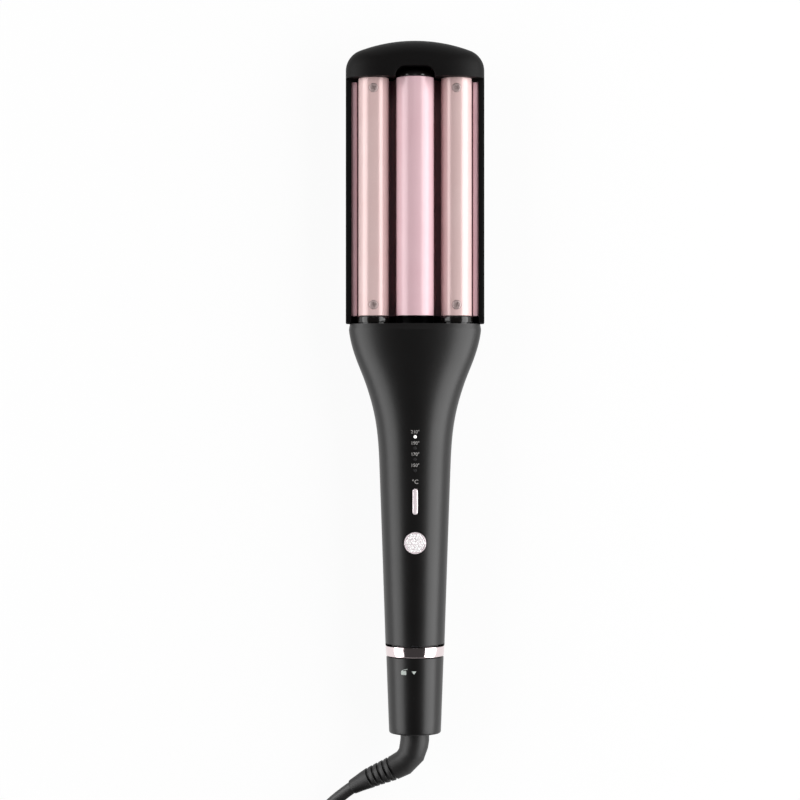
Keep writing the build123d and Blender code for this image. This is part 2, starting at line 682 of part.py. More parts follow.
def board_parts():
    """Control chip, triac and capacitor."""
    chip_y = BOARD_Y0 + 0.57 * BOARD_LEN
    triac_y = BOARD_Y0 + 0.26 * BOARD_LEN
    chip = block(-4, 1, chip_y - 2.5, chip_y + 2.5, BOARD_TOP, BOARD_TOP + 1.2)
    triac = block(2, 6.5, triac_y - 2.5, triac_y + 2.5, BOARD_TOP, BOARD_TOP + 3.0)
    capacitor = rod_z(3.0, BOARD_Z - 3.2, BOARD_Z, 0, triac_y)
    return Compound(children=[chip, triac, capacitor])


def indicator_leds():
    return Compound(
        children=[block(-0.9, 0.9, y - 0.7, y + 0.7, BOARD_TOP, BOARD_TOP + 0.8) for y in led_places()]
    )


def indicator_lenses():
    """Four light pipes from the board up to the surface."""
    pipes = []
    for y in led_places():
        pipe = rod_z(LED_R, BOARD_TOP + 0.9, surface_z(y) + 0.05, 0, y)
        pipes.append(pipe + rod_z(LED_R + 0.5, BOARD_TOP + 0.9, BOARD_TOP + 2.4, 0, y))
    return Compound(children=pipes)


FUSE_R = 1.6


def thermal_fuse():
    return rod_y(FUSE_R, Y_SHOULDER - 31, Y_SHOULDER - 20, 0, FRONT_COVER_Z + COVER_T + FUSE_R)


# ---- Wires ----
WIRE_R = 0.9
REAR_WIRE_X = 6.5
REAR_WIRE_Z = (5.2, 7.8)


def wire(points, radius):
    """A wire along straight runs joined by arcs."""
    path = FilletPolyline(*points, radius=radius)
    ring = Plane(origin=path @ 0, z_dir=path % 0) * Circle(WIRE_R)
    return sweep(ring, path=path)


def rear_wire_slot(y0, y1):
    """One slot for both of the rear leads."""
    low, high = REAR_WIRE_Z
    radius = WIRE_R + 0.4
    slot = block(REAR_WIRE_X - radius, REAR_WIRE_X + radius, y0, y1, low, high)
    return slot + rod_y(radius, y0, y1, REAR_WIRE_X, low) + rod_y(radius, y0, y1, REAR_WIRE_X, high)


def rear_lead_wires():
    leads = []
    for z, side in zip(REAR_WIRE_Z, (-1, 1)):
        leads.append(
            wire(
                [
                    (side * 1.6, RIDGE_HEAT_Y0 - 0.1, HEATER_Z + HEATER_T / 2),
                    (side * 1.6, RIDGE_HEAT_Y0 - 3.6, HEATER_Z + HEATER_T / 2 - 0.6),
                    (REAR_WIRE_X, RIDGE_HEAT_Y0 - 6.2, z + 2),
                    (REAR_WIRE_X, Y_PLATE - 2, z),
                    (REAR_WIRE_X, Y_SHOULDER - 8, z),
                    (7.0, Y_SHOULDER - 28.0, z + 1.2),
                    (7.0, SPRING_Y + 38.0, z + 1.8),
                    (8.6, SPRING_Y + 8.0, z + 2.4),
                    (8.6, SPRING_Y - 4.0, z + 2.6),
                    (1.5, COVER_END - 3.5, z + 3.6),
                    (1.5, Y_HANDLE + 1.0, z + 6.0),
                ],
                1.4,
            )
        )
    return Compound(children=leads)


def front_lead_wires():
    leads = []
    for side in (-1, 1):
        for drop in (0.0, 2.2):
            leads.append(
                wire(
                    [
                        (side * (1.3 + drop), BOARD_Y1 + 0.2, BOARD_Z + BOARD_T / 2),
                        (side * (1.6 + drop), BOARD_Y1 + 6.0, BOARD_Z + BOARD_T / 2),
                        (side * (10.0 + drop), Y_SHOULDER - 11, BARREL_Z + 1.4),
                        (side * (BARREL_X - 1.1 + drop), Y_SHOULDER - 5.5, BARREL_Z),
                        (side * (BARREL_X - 1.1 + drop), BARREL_HEAT_Y0 - 0.1, BARREL_Z),
                    ],
                    2.5,
                )
            )
    return Compound(children=leads)


# ---- Tail: core, ring, lock and swivel ----
CORE_END = Y_TAIL + 7.5
CORE_LIP = 2.0
BUSH_Y0 = CORE_END + CORE_LIP + 0.3
BUSH_Y1 = Y_RING - 2.0
POST_R = 5.0
CONTACT_R = 5.8


def keyway(width, r_low, r_high, y0, y1):
    return block(-width / 2, width / 2, y0, y1, TAIL_R + r_low, TAIL_R + r_high)


def tail_core():
    """Fixed tube that the ring, the lock collar and the cord swivel sit on."""
    core = rod_y(CORE_R, CORE_END, Y_HANDLE + 0.1, z=TAIL_R)
    core += rod_y(NECK_R, Y_HANDLE, Y_HANDLE + NECK_LEN, z=TAIL_R)
    core -= rod_y(CORE_BORE, CORE_END + CORE_LIP, Y_HANDLE - 1.0, z=TAIL_R)
    core -= rod_y(STRAIN_R + 0.15, CORE_END - 1, CORE_END + CORE_LIP + 1, z=TAIL_R)
    core -= rod_y(6.8, Y_HANDLE - 2, Y_HANDLE + NECK_LEN + 1, z=TAIL_R)
    slot_end = Y_RING - 26.0
    core -= keyway(SLIDER_W + 0.3, SLIDER_R - 0.1, 20, slot_end, Y_HANDLE + NECK_LEN + 1)
    core -= rod_y(CORE_R + 1, CLIP_Y - 0.05, CLIP_Y + CLIP_T + 0.05, z=TAIL_R) - rod_y(
        CORE_R - 0.8, CLIP_Y - 1, CLIP_Y + CLIP_T + 1, z=TAIL_R
    )
    return core


CLIP_Y = CORE_END + 1.2
CLIP_T = 0.9


def retaining_clip():
    clip = rod_y(CORE_R + 1.0, CLIP_Y, CLIP_Y + CLIP_T, z=TAIL_R)
    clip -= rod_y(CORE_R - 0.75, CLIP_Y - 1, CLIP_Y + 2, z=TAIL_R)
    return clip - block(-4, 4, CLIP_Y - 1, CLIP_Y + 2, TAIL_R - 20, TAIL_R)


def trim_ring():
    ring = cone_y(RING_R1, RING_R0, Y_RING, Y_HANDLE, TAIL_R)
    ring = fillet(ring.edges().filter_by(GeomType.CIRCLE), 0.3)
    return ring - rod_y(CORE_R + FIT, Y_RING - 1, Y_HANDLE + 1, z=TAIL_R)


def lock_collar():
    """Twist collar that is also the end cap; its cam groove moves the slider."""
    front = Y_RING - 0.3
    shape = cone_y(COLLAR_R1, COLLAR_R0, Y_TAIL, front, TAIL_R)
    shape = fillet(shape.edges().group_by(Axis.Y)[0], 1.0)
    shape -= rod_y(CORE_R + RUN, CLIP_Y + CLIP_T + 0.2, front + 1, z=TAIL_R)
    shape -= rod_y(CORE_R + 1.3, Y_TAIL + 3.0, CLIP_Y + CLIP_T + 0.25, z=TAIL_R)
    shape -= rod_y(STRAIN_R + STRAIN_GAP, Y_TAIL - 1, Y_TAIL + 4, z=TAIL_R)
    return shape - cam_groove()


def cam_groove():
    """Helical groove that draws the slider's pin back by its travel over the collar's turn."""
    depth = 2.0
    lead_in = CAM_PIN_R + 0.3
    pitch = LOCK_TRAVEL * 360 / LOCK_TURN
    turn_per_mm = 360 / pitch
    past_end = degrees(lead_in / CORE_R) / turn_per_mm
    radius = CORE_R + 1.5 - depth / 2
    path = Helix(pitch=pitch, height=LOCK_TRAVEL + 2 * past_end, radius=radius)
    section = Plane(origin=path @ 0, x_dir=(1, 0, 0), z_dir=path % 0) * Rectangle(depth, 2 * CAM_PIN_R + 0.4)
    groove = Rot(0, 0, -past_end * turn_per_mm) * Pos(0, 0, -past_end) * sweep(section, path=path, is_frenet=True)
    return Plane(origin=(0, CAM_Y, TAIL_R), x_dir=(0, 0, 1), z_dir=(0, -1, 0)) * groove


CAM_Y = Y_RING - 10.0
LUG_REAR_Y = PIVOT_Y - 4.6


def lock_slider():
    """Bar in the core's keyway: cam pin at one end, hook nose at the other."""
    nose = LUG_REAR_Y - 1.2
    bar = keyway(SLIDER_W, SLIDER_R, SLIDER_R + SLIDER_T, CAM_Y - 4.0, nose)
    pin = rod_z(CAM_PIN_R, TAIL_R + SLIDER_R + 0.5, TAIL_R + CORE_R + 1.2, 0, CAM_Y)
    return bar + pin


def swivel_bush():
    bush = rod_y(CORE_BORE - RUN, BUSH_Y0, BUSH_Y0 + 16, z=TAIL_R)
    bush += rod_y(POST_R, BUSH_Y0 + 15, BUSH_Y1, z=TAIL_R)
    return bush - rod_y(CORD_R + 0.1, BUSH_Y0 - 1, BUSH_Y0 + 9, z=TAIL_R)


def contact_ys():
    return [BUSH_Y1 - 8.0, BUSH_Y1 - 3.5]


def contact_rings():
    rings = []
    for y in contact_ys():
        rings.append(along_y(Pos(0, TAIL_R) * (Circle(CONTACT_R) - Circle(POST_R + FIT)), y, y + 2))
    return Compound(children=rings)


def contact_brushes():
    """Sprung brass leaves that press on the rings."""
    leaves = []
    for y in contact_ys():
        for side in (-1, 1):
            near = side * (CONTACT_R + RUN)
            far = side * (CORE_BORE - 0.2)
            leaves.append(
                block(min(near, far), max(near, far), y + 0.3, y + 1.7, TAIL_R - 1.2, TAIL_R + 1.2)
            )
    return Compound(children=leaves)


# ---- Cord, strain relief, coil and plug ----
TIP_R = 3.9
STRAIN_PATH = [
    (0.0, Y_TAIL - 7.6, TAIL_R),
    (-9.6, Y_TAIL - 17.1, 14.6),
    (-19.9, Y_TAIL - 22.1, 12.6),
    (-26.3, Y_TAIL - 25.5, 10.6),
    (-32.1, Y_TAIL - 29.1, 8.6),
]
CORD_ROUTE = [
    STRAIN_PATH[-1],
    (-38.6, Y_TAIL - 33.9, 6.4),
    (-46.4, Y_TAIL - 41.1, 4.6),
    (-54.6, Y_TAIL - 50.1, 3.6),
    (-60.2, Y_TAIL - 57.5, CORD_R),
]
PLUG_ROUTE = [
    (-45.0, COIL_Y - 39.4, 14.6),
    (-33.0, COIL_Y - 47.8, 12.2),
    (-22.0, COIL_Y - 52.8, 9.4),
    (-10.0, COIL_Y - 55.8, 7.4),
]


def arc_radii(points):
    """The largest arc that each corner's two runs allow."""
    corners = [Vector(*p) for p in points]
    radii = []
    for before, here, after in zip(corners, corners[1:], corners[2:]):
        turn = radians((here - before).get_angle(after - here))
        short = min((here - before).length, (after - here).length)
        radii.append(0.45 * short / tan(turn / 2))
    return radii


def route_tube(points, radius):
    radii = arc_radii(points)
    path = FilletPolyline(*points, radius=radii)
    ring = Plane(origin=path @ 0, z_dir=path % 0) * Circle(radius)
    tube = sweep(ring, path=path)
    print("arc radii", [round(r, 1) for r in radii], "length", round(path.length, 1))
    print("volume", round(tube.volume, 1), "section x length", round(pi * radius**2 * path.length, 1))
    return tube


def strain_relief():
    """Ribbed rubber sleeve: straight neck, then a bend that tapers down to the cord."""
    neck = rod_y(STRAIN_R, BUSH_Y0 - 0.3, Y_TAIL - 4.0, z=TAIL_R)
    points = [(0.0, Y_TAIL - 4.0, TAIL_R)] + STRAIN_PATH[1:]
    path = Spline(*points, tangents=[(0, -1, 0), (-0.83, -0.55, -0.25)])
    rings = []
    radii = (STRAIN_R, 7.2, 6.9, 6.4, 5.9, 5.4, 4.9, 4.4, TIP_R)
    for i, radius in enumerate(radii):
        share = i / (len(radii) - 1)
        rings.append(Plane(origin=path @ share, z_dir=path % share, x_dir=side_of(path % share)) * Circle(radius))
    return neck + loft(rings)


def side_of(direction):
    return direction.cross(Vector(0, 0, 1)).normalized()


def cord_coil():
    """The closed outer shape of the wound cord."""
    half_w = COIL_COLUMNS * CORD_R
    top = COIL_ROWS * 2 * CORD_R
    ring = Circle(COIL_R + half_w) - Circle(COIL_R - half_w)
    coil = extrude(Pos(COIL_X, COIL_Y, 0) * ring, amount=top)
    return fillet(coil.edges().filter_by(GeomType.CIRCLE), CORD_R * 0.8)


PLUG_X, PLUG_Y, PLUG_Z = PLUG_ROUTE[-1]
PLUG_BODY_LEN = 37.0
PIN_PITCH = 18.6
PIN_LEN = 19.0
PIN_BODY_R = 2.0
PIN_ROOT_R = 2.4
PIN_ROOT_LEN = 8.0  # held in the plug's body


def plug_frame():
    return Plane(origin=(PLUG_X, PLUG_Y, PLUG_Z), x_dir=(0, 1, 0), z_dir=(1, 0, 0))


def plug_body():
    """Flat two-pin mains plug with a tapered sleeve, lying beside the coil."""
    sleeve = loft([place(Circle(CORD_R + 1), z=0), place(Circle(CORD_R + 2.6), z=14)], ruled=True)
    neck = loft([place(Ellipse(7.5, 6.0), z=13), place(Ellipse(12.0, 6.9), z=22)], ruled=True)
    grip = extrude(Pos(0, 0, 21.9) * SlotOverall(33.0, 13.7), amount=PLUG_BODY_LEN - 21.9)
    body = sleeve + neck + grip
    for side in (-1, 1):
        x = side * PIN_PITCH / 2
        body -= rod_z(PIN_ROOT_R + FIT, PLUG_BODY_LEN - PIN_ROOT_LEN, PLUG_BODY_LEN + 1, x, 0)
    return plug_frame() * body


def plug_pins():
    pins = []
    for side in (-1, 1):
        x = side * PIN_PITCH / 2
        pin = rod_z(PIN_BODY_R, PLUG_BODY_LEN - 1, PLUG_BODY_LEN + PIN_LEN, x, 0)
        pin = fillet(pin.edges().group_by(Axis.Z)[-1], 1.2)
        pin += rod_z(PIN_ROOT_R, PLUG_BODY_LEN - PIN_ROOT_LEN, PLUG_BODY_LEN, x, 0)
        pins.append(plug_frame() * pin)
    return Compound(children=pins)


PIECES = {
    "rear_handle_shell": rear_handle_shell,
    "rear_inner_cover": rear_inner_cover,
    "rear_cover_screws": lambda: cover_screws(True),
    "rear_head_housing": rear_head_housing,
    "wave_plate": wave_plate,
    "ridge_bottom_plug": lambda: ridge_plug(False),
    "ridge_top_plug": lambda: ridge_plug(True),
    "ridge_plug_screws": plug_screws,
    "ridge_saddle": ridge_saddle,
    "ridge_heater": ridge_heater,
    "heater_clamp": heater_clamp,
    "hinge_bracket": hinge_bracket,
    "hinge_pin": hinge_pin,
    "hinge_bracket_screws": bracket_screws,
    "opening_spring": opening_spring,
    "tail_core": tail_core,
    "trim_ring": trim_ring,
    "contact_brushes": contact_brushes,
    "retaining_clip": retaining_clip,
    "rear_lead_wires": rear_lead_wires,
    "front_handle_shell": front_handle_shell,
    "front_inner_cover": front_inner_cover,
    "front_cover_screws": lambda: cover_screws(False),
    "front_collar": front_collar,
    "front_tip_cap": front_tip_cap,
    "left_barrel": lambda: barrel(-1),
    "right_barrel": lambda: barrel(1),
    "left_barrel_heater": lambda: barrel_heater(-1),
    "right_barrel_heater": lambda: barrel_heater(1),
    "left_heater_saddles": lambda: barrel_saddles(-1),
    "right_heater_saddles": lambda: barrel_saddles(1),
    "barrel_screws": barrel_screws,
    "hinge_knuckle": hinge_knuckle,
    "hinge_knuckle_screws": knuckle_screws,
    "control_board": control_board,
    "board_screws": board_screws,
    "board_parts": board_parts,
    "power_switch": lambda: switch_base(BUTTON_Y),
    "temp_switch": lambda: switch_base(PILL_Y),
    "indicator_leds": indicator_leds,
    "indicator_lenses": indicator_lenses,
    "thermal_fuse": thermal_fuse,
    "front_lead_wires": front_lead_wires,
    "power_button": power_button,
    "power_plunger": lambda: plunger(BUTTON_Y),
    "temp_button": temp_button,
    "temp_plunger": lambda: plunger(PILL_Y),
    "lock_collar": lock_collar,
    "lock_slider": lock_slider,
    "swivel_bush": swivel_bush,
    "contact_rings": contact_rings,
    "strain_relief": strain_relief,
    "power_cord": lambda: route_tube(CORD_ROUTE, CORD_R),
    "cord_coil": cord_coil,
    "plug_lead": lambda: route_tube(PLUG_ROUTE, CORD_R),
    "plug_body": plug_body,
    "plug_pins": plug_pins,
}

os.makedirs("parts", exist_ok=True)
for name, make in PIECES.items():
    export_step(make(), f"parts/{name}.step")
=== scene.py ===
"""Hair waver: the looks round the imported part, in metres and in the part's own frame."""

from math import asin, cos, pi, radians, sin, sqrt

import bmesh
import bpy
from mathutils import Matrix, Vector


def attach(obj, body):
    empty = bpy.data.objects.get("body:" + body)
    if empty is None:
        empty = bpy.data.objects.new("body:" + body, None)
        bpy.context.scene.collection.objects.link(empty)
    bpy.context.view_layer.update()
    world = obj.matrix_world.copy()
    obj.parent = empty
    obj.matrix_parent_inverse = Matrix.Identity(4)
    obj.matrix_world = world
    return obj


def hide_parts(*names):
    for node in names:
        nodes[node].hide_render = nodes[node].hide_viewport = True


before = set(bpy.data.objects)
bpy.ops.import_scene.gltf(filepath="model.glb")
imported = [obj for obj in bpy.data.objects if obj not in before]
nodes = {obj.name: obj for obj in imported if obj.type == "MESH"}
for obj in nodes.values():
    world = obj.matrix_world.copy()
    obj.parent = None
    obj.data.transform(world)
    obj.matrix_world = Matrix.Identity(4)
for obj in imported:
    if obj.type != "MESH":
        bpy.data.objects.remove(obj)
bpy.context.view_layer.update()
mm = 0.001


# ---- Handle shells ----
# Two half shells, injection moulded in black polycarbonate with a fine spark-eroded grain. The
# rear one carries the hinge and the W plate, the front one the buttons and the two barrels.
# Each is closed by a flat inner cover on five screws, and they meet along the sides.

def linear(code):
    """An sRGB hex colour as the linear colour that a shader takes."""
    parts = [int(code[i : i + 2], 16) / 255 for i in (1, 3, 5)]
    return [c / 12.92 if c <= 0.04045 else ((c + 0.055) / 1.055) ** 2.4 for c in parts] + [1.0]


def new_material(name, colour=None, **sockets):
    """A material whose Principled shader has this hex colour and these values."""
    material = bpy.data.materials.new(name)
    material.use_nodes = True
    inputs = material.node_tree.nodes["Principled BSDF"].inputs
    if colour:
        inputs["Base Color"].default_value = linear(colour)
    for socket, value in sockets.items():
        inputs[socket.replace("_", " ")].default_value = value
    return material


def add_node(material, kind, inputs, into=None, **settings):
    """Add one shader node. inputs holds values, or sockets to link from; into is the socket that
    it leads to, or the name of one on the Principled shader."""
    tree = material.node_tree
    made = tree.nodes.new(kind)
    for name, value in settings.items():
        setattr(made, name, value)
    for name, value in inputs.items():
        if isinstance(value, bpy.types.NodeSocket):
            tree.links.new(value, made.inputs[name])
        else:
            made.inputs[name].default_value = value
    shown = [output for output in made.outputs if output.enabled]
    result = made.outputs["Object"] if kind == "ShaderNodeTexCoord" else shown[0]
    if isinstance(into, str):
        into = tree.nodes["Principled BSDF"].inputs[into]
    if into:
        tree.links.new(result, into)
    return result


def work_surface(
    material, size, colours=None, roughness=None, relief=None, detail=2.0, distortion=0.0,
    stretch=None, into="Base Color",
):
    """Let a noise of a real size, in mm, move a material's colour between two hex values, its
    roughness between two numbers, and its height by a strength and a depth in mm."""
    place = add_node(material, "ShaderNodeTexCoord", {})
    if stretch:
        place = add_node(material, "ShaderNodeMapping", {"Vector": place, "Scale": stretch})
    noise = {"Scale": 1 / (size * mm), "Detail": detail, "Distortion": distortion}
    noise = add_node(material, "ShaderNodeTexNoise", {"Vector": place, **noise})
    if colours:
        ends = {"Factor": noise, "A": linear(colours[0]), "B": linear(colours[1])}
        add_node(material, "ShaderNodeMix", ends, into, data_type="RGBA")
    if roughness:
        ends = {"Value": noise, "To Min": roughness[0], "To Max": roughness[1]}
        add_node(material, "ShaderNodeMapRange", ends, "Roughness")
    if relief:
        rise = {"Height": noise, "Strength": relief[0], "Distance": relief[1] * mm}
        add_node(material, "ShaderNodeBump", rise, "Normal")


def only(piece):
    """Select one piece and nothing else."""
    bpy.ops.object.select_all(action="DESELECT")
    piece.select_set(True)
    bpy.context.view_layer.objects.active = piece


def edit(piece):
    """Open a piece in edit mode with all of it selected."""
    only(piece)
    bpy.ops.object.mode_set(mode="EDIT")
    bpy.ops.mesh.select_all(action="SELECT")


def leave():
    """Leave edit mode; returns the piece."""
    bpy.ops.object.mode_set(mode="OBJECT")
    return bpy.context.object


def shut():
    """Turn all faces outwards and leave edit mode; returns the piece."""
    bpy.ops.mesh.select_all(action="SELECT")
    bpy.ops.mesh.normals_make_consistent(inside=False)
    return leave()


def start_piece(name, add, at, **settings):
    """Add a primitive, all in mm, take its place into its mesh, and open it in edit mode."""
    for length in {"radius", "depth", "size"} & set(settings):
        settings[length] *= mm
    bpy.ops.object.select_all(action="DESELECT")
    add(location=Vector(at) * mm, **settings)
    piece = bpy.context.object
    piece.name = name
    bpy.ops.object.transform_apply(location=True, rotation=True, scale=True)
    edit(piece)
    return piece


def extrude(step):
    """Extrude what is selected by a step in mm."""
    bpy.ops.mesh.extrude_region_move(TRANSFORM_OT_translate={"value": Vector(step) * mm})


def resize(scale, middle):
    """Resize what is selected about a point in mm."""
    bpy.ops.transform.resize(value=scale, center_override=Vector(middle) * mm)


def pull_ring(step, middle, scale):
    """Extrude the selected ring by a step, and resize it about its new middle."""
    extrude(step)
    resize(scale, middle)


def trim(point, normal):
    """In edit mode, cut off what lies beyond a plane, and close the cut."""
    bpy.ops.mesh.select_all(action="SELECT")
    bpy.ops.mesh.bisect(
        plane_co=Vector(point) * mm, plane_no=normal, clear_outer=True, use_fill=True
    )


def pick(kind, test):
    """In edit mode, select only the verts, edges or faces whose middle, in mm, passes the test."""
    bpy.ops.mesh.select_mode(type={"verts": "VERT", "edges": "EDGE", "faces": "FACE"}[kind])
    bpy.ops.mesh.select_all(action="DESELECT")
    mesh = bmesh.from_edit_mesh(bpy.context.object.data)
    for part in getattr(mesh, kind):
        points = [part.co] if kind == "verts" else [v.co for v in part.verts]
        if test(sum(points, Vector()) / len(points) / mm):
            part.select_set(True)
    mesh.select_flush_mode()
    bmesh.update_edit_mesh(bpy.context.object.data)


def modify(piece, kind, **settings):
    """Give a piece one modifier and apply it."""
    only(piece)
    modifier = piece.modifiers.new(kind.title(), kind)
    for name, value in settings.items():
        setattr(modifier, name, value)
    bpy.ops.object.modifier_apply(modifier=modifier.name)


def soften(piece, width, segments, angle=50):
    """Round the edges that are sharper than an angle; the width is in mm."""
    modify(
        piece, "BEVEL", width=width * mm, segments=segments, limit_method="ANGLE",
        angle_limit=radians(angle),
    )


def smooth(piece, angle=32):
    """Shade a piece smooth, but for its sharper edges."""
    only(piece)
    bpy.ops.object.shade_smooth_by_angle(angle=radians(angle))


def fit(piece, material, body, slot, *replaced):
    """Give a finished piece its material, its body and the CAD nodes it stands for."""
    piece.data.materials.clear()
    piece.data.materials.append(material)
    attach(piece, body)
    if replaced:
        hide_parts(*replaced)


def copy_of(piece, name):
    """A copy with its own mesh."""
    only(piece)
    bpy.ops.object.duplicate()
    copy = bpy.context.object
    copy.name = name
    return copy


def cut_away(piece, *tools):
    """Cut the tools' shapes out of a piece, and throw the tools away."""
    for tool in tools:
        modify(piece, "BOOLEAN", operation="DIFFERENCE", solver="EXACT", object=tool)
        bpy.data.objects.remove(tool)


# Polycarbonate with a spark-eroded skin: a satin that spreads the lamps into wide soft bands. The
# grain is 0.12 mm on the real shell, and is drawn at 0.5 mm so that it shows.
black_satin = new_material("moulded_black_polycarbonate", "#0d0c0c", Roughness=0.36, IOR=1.42)
work_surface(black_satin, 0.5, relief=(0.12, 0.05))
work_surface(black_satin, 14, roughness=(0.33, 0.39), detail=4.0)

tail_y, rim_y, shoulder_y = -134.0, 30.2, 33.0
tail_depth, depth_gain, rim_drop = 15.45, 1.05, 1.2
seam_z, seam_gap = 16.0, 0.3
handle_stations = [  # place along the tool and half width, from the tail to the shoulder
    (-134.0, 15.4), (-133.0, 15.42), (-116.0, 15.95), (-100.0, 16.5), (-84.6, 17.0), (-69.0, 17.55),
    (-56.0, 18.0), (-45.0, 18.4), (-36.2, 18.7), (-27.9, 19.2), (-19.6, 20.1), (-11.2, 21.7),
    (-2.9, 24.0), (5.4, 26.85), (13.7, 30.4), (21.0, 32.8), (26.5, 34.0), (29.6, 34.4),
    (30.2, 34.4), (30.6, 34.33), (32.8, 33.94), (33.0, 33.9),
]


def plain_depth(y):
    """Half the handle's depth, which grows evenly from the tail to the shoulder."""
    return tail_depth + depth_gain * (y - tail_y) / (shoulder_y - tail_y)


def handle_depth(y):
    """Half the handle's depth, less where its rim is bevelled."""
    return plain_depth(y) - max(0.0, y - rim_y) / (shoulder_y - rim_y) * rim_drop


def handle_axis(y):
    """The middle of the handle, whose back lies along the table."""
    return Vector((0, y, plain_depth(min(y, rim_y))))


y, half_w = handle_stations[0]
depth = half_w
handle = start_piece(
    "handle_blank", bpy.ops.mesh.primitive_circle_add, handle_axis(y), vertices=64, radius=half_w,
    rotation=(pi / 2, 0, 0),
)
for next_y, next_w in handle_stations[1:]:
    next_depth = handle_depth(next_y)
    step = handle_axis(next_y) - handle_axis(y)
    pull_ring(step, handle_axis(next_y), (next_w / half_w, 1, next_depth / depth))
    y, half_w, depth = next_y, next_w, next_depth
shut()
modify(handle, "SUBSURF", levels=2, render_levels=2, boundary_smooth="PRESERVE_CORNERS")
modify(handle, "SOLIDIFY", thickness=2.0 * mm, offset=-1)


def half_shell(name, *cuts):
    """Half of the handle's hollow blank, with its edges rounded; each cut is a plane."""
    shell = copy_of(handle, name)
    edit(shell)
    for point, normal in cuts:
        trim(point, normal)
    leave()
    soften(shell, 0.3, 3)
    return shell


# Behind the hinge the rear shell's seam slopes down, which makes room for the front shell's tail.
slope_y, slope = -126.6, (0, -0.19, 0.98)
front_shell = half_shell(
    "front_handle", ((0, 0, seam_z + seam_gap), (0, 0, -1)), ((0, tail_y + 1.2, 0), (0, -1, 0))
)
rear_shell = half_shell("rear_handle", ((0, 0, seam_z), (0, 0, 1)), ((0, slope_y, seam_z), slope))

button_y, button_r = -80.0, 5.75
pill_y, pill_len, pill_w = -58.7, 13.3, 2.75
light_ys, light_hole_r = [-25.4, -31.15, -36.9, -42.65], 0.85
running_gap, above_z = 0.15, 32.5


def pill_blank(name, grow, z_from, z_to):
    """An upright bar with round ends, standing in the temperature button's place."""
    start_piece(
        name, bpy.ops.mesh.primitive_cylinder_add, (0, pill_y, (z_from + z_to) / 2), vertices=48,
        radius=pill_w / 2 + grow, depth=z_to - z_from,
    )
    for side in (-1, 1):
        pick("verts", lambda p: (p.y - pill_y) * side > 0.01)
        bpy.ops.transform.translate(value=(0, side * (pill_len - pill_w) / 2 * mm, 0))
    return leave()


def drill(middle, radius, depth, vertices=64):
    """An upright round cutter."""
    start_piece(
        "drill", bpy.ops.mesh.primitive_cylinder_add, middle, vertices=vertices, radius=radius,
        depth=depth,
    )
    return leave()


holes = [pill_blank("pill_hole", running_gap, 25, 40)]
holes.append(drill((0, button_y, above_z), button_r + running_gap, 15))
holes += [drill((0, y, above_z), light_hole_r, 15) for y in light_ys]
cut_away(front_shell, *holes)
for shell in (front_shell, rear_shell):
    smooth(shell)
fit(front_shell, black_satin, "front_arm", "black_pc", "front_handle_shell")
fit(rear_shell, black_satin, "rear_arm", "black_pc", "rear_handle_shell")
bpy.data.objects.remove(handle)


# ---- Inner covers ----
# Flat covers moulded in plain black ABS, which close each half shell. They are seen in the gap
# when the arms are open, with the countersunk steel screws that hold them.

# Plain ABS straight from the tool: duller than the outer shells, with faint swirling flow marks.
inner_black = new_material("moulded_black_abs", "#1d1c1c", Roughness=0.55, IOR=1.54)
work_surface(
    inner_black, 6, roughness=(0.48, 0.62), relief=(0.1, 0.1), detail=3.0, distortion=1.2
)


def dress(material, *names):
    """Give CAD nodes a material on the slots that they have."""
    for name in names:
        for one in nodes[name].material_slots:
            one.material = material


# Zinc-plated steel: bright, a little blue, with fine turning marks round the shank.
zinc_steel = new_material("zinc_plated_steel", "#b9bcc0", Metallic=1.0, Roughness=0.3)
work_surface(zinc_steel, 0.4, roughness=(0.22, 0.42), detail=3.0)

dress(inner_black, "rear_inner_cover", "front_inner_cover")
dress(
    zinc_steel, "rear_cover_screws", "front_cover_screws", "ridge_plug_screws",
    "hinge_bracket_screws", "hinge_knuckle_screws", "board_screws",
)


# ---- Arm hinge ----
# A folded steel bracket in the rear arm, a cast knuckle with the lock's lug on the front arm, and
# a ground pin through both. A wire spring pushes the arms open when the lock lets go.

# Cold-rolled steel, pressed and deburred: grey, with long rolling marks.
rolled_steel = new_material("pressed_steel", "#8d9094", Metallic=1.0, Roughness=0.38)
work_surface(rolled_steel, 2, roughness=(0.3, 0.5), detail=4.0, stretch=(8.0, 1.0, 1.0))

# Spring wire: darker, drawn and oiled.
spring_wire = new_material("spring_steel_wire", "#6f7072", Metallic=1.0, Roughness=0.28)
work_surface(spring_wire, 1.5, roughness=(0.2, 0.36))

dress(
    rolled_steel, "hinge_bracket", "hinge_knuckle", "hinge_pin", "retaining_clip", "heater_clamp",
    "lock_slider",
)
dress(spring_wire, "opening_spring")


# ---- Control board ----
# A glass-fibre board on four posts of the front cover, with the two press switches, the four
# lights and their drive parts soldered on. A thermal fuse lies beside the leads to the heaters.

# Glass-fibre laminate under green solder mask: glossy, with paler tracks 0.8 mm apart.
board_green = new_material("solder_masked_laminate", Roughness=0.28, IOR=1.5)
place = add_node(board_green, "ShaderNodeTexCoord", {})
tracks = add_node(
    board_green, "ShaderNodeTexVoronoi", {"Vector": place, "Scale": 1 / (0.8 * mm)},
    distance="MANHATTAN",
)
mask = {"Factor": tracks, "A": linear("#2f7d4d"), "B": linear("#14472b")}
add_node(board_green, "ShaderNodeMix", mask, "Base Color", data_type="RGBA")
add_node(
    board_green, "ShaderNodeBump", {"Height": tracks, "Strength": 0.2, "Distance": 0.05 * mm},
    "Normal",
)

# Moulded epoxy of chips and switches: matt, with a fine sanded grain drawn at 0.3 mm.
epoxy_black = new_material("moulded_epoxy", "#222225", Roughness=0.55)
work_surface(epoxy_black, 0.3, relief=(0.3, 0.03))

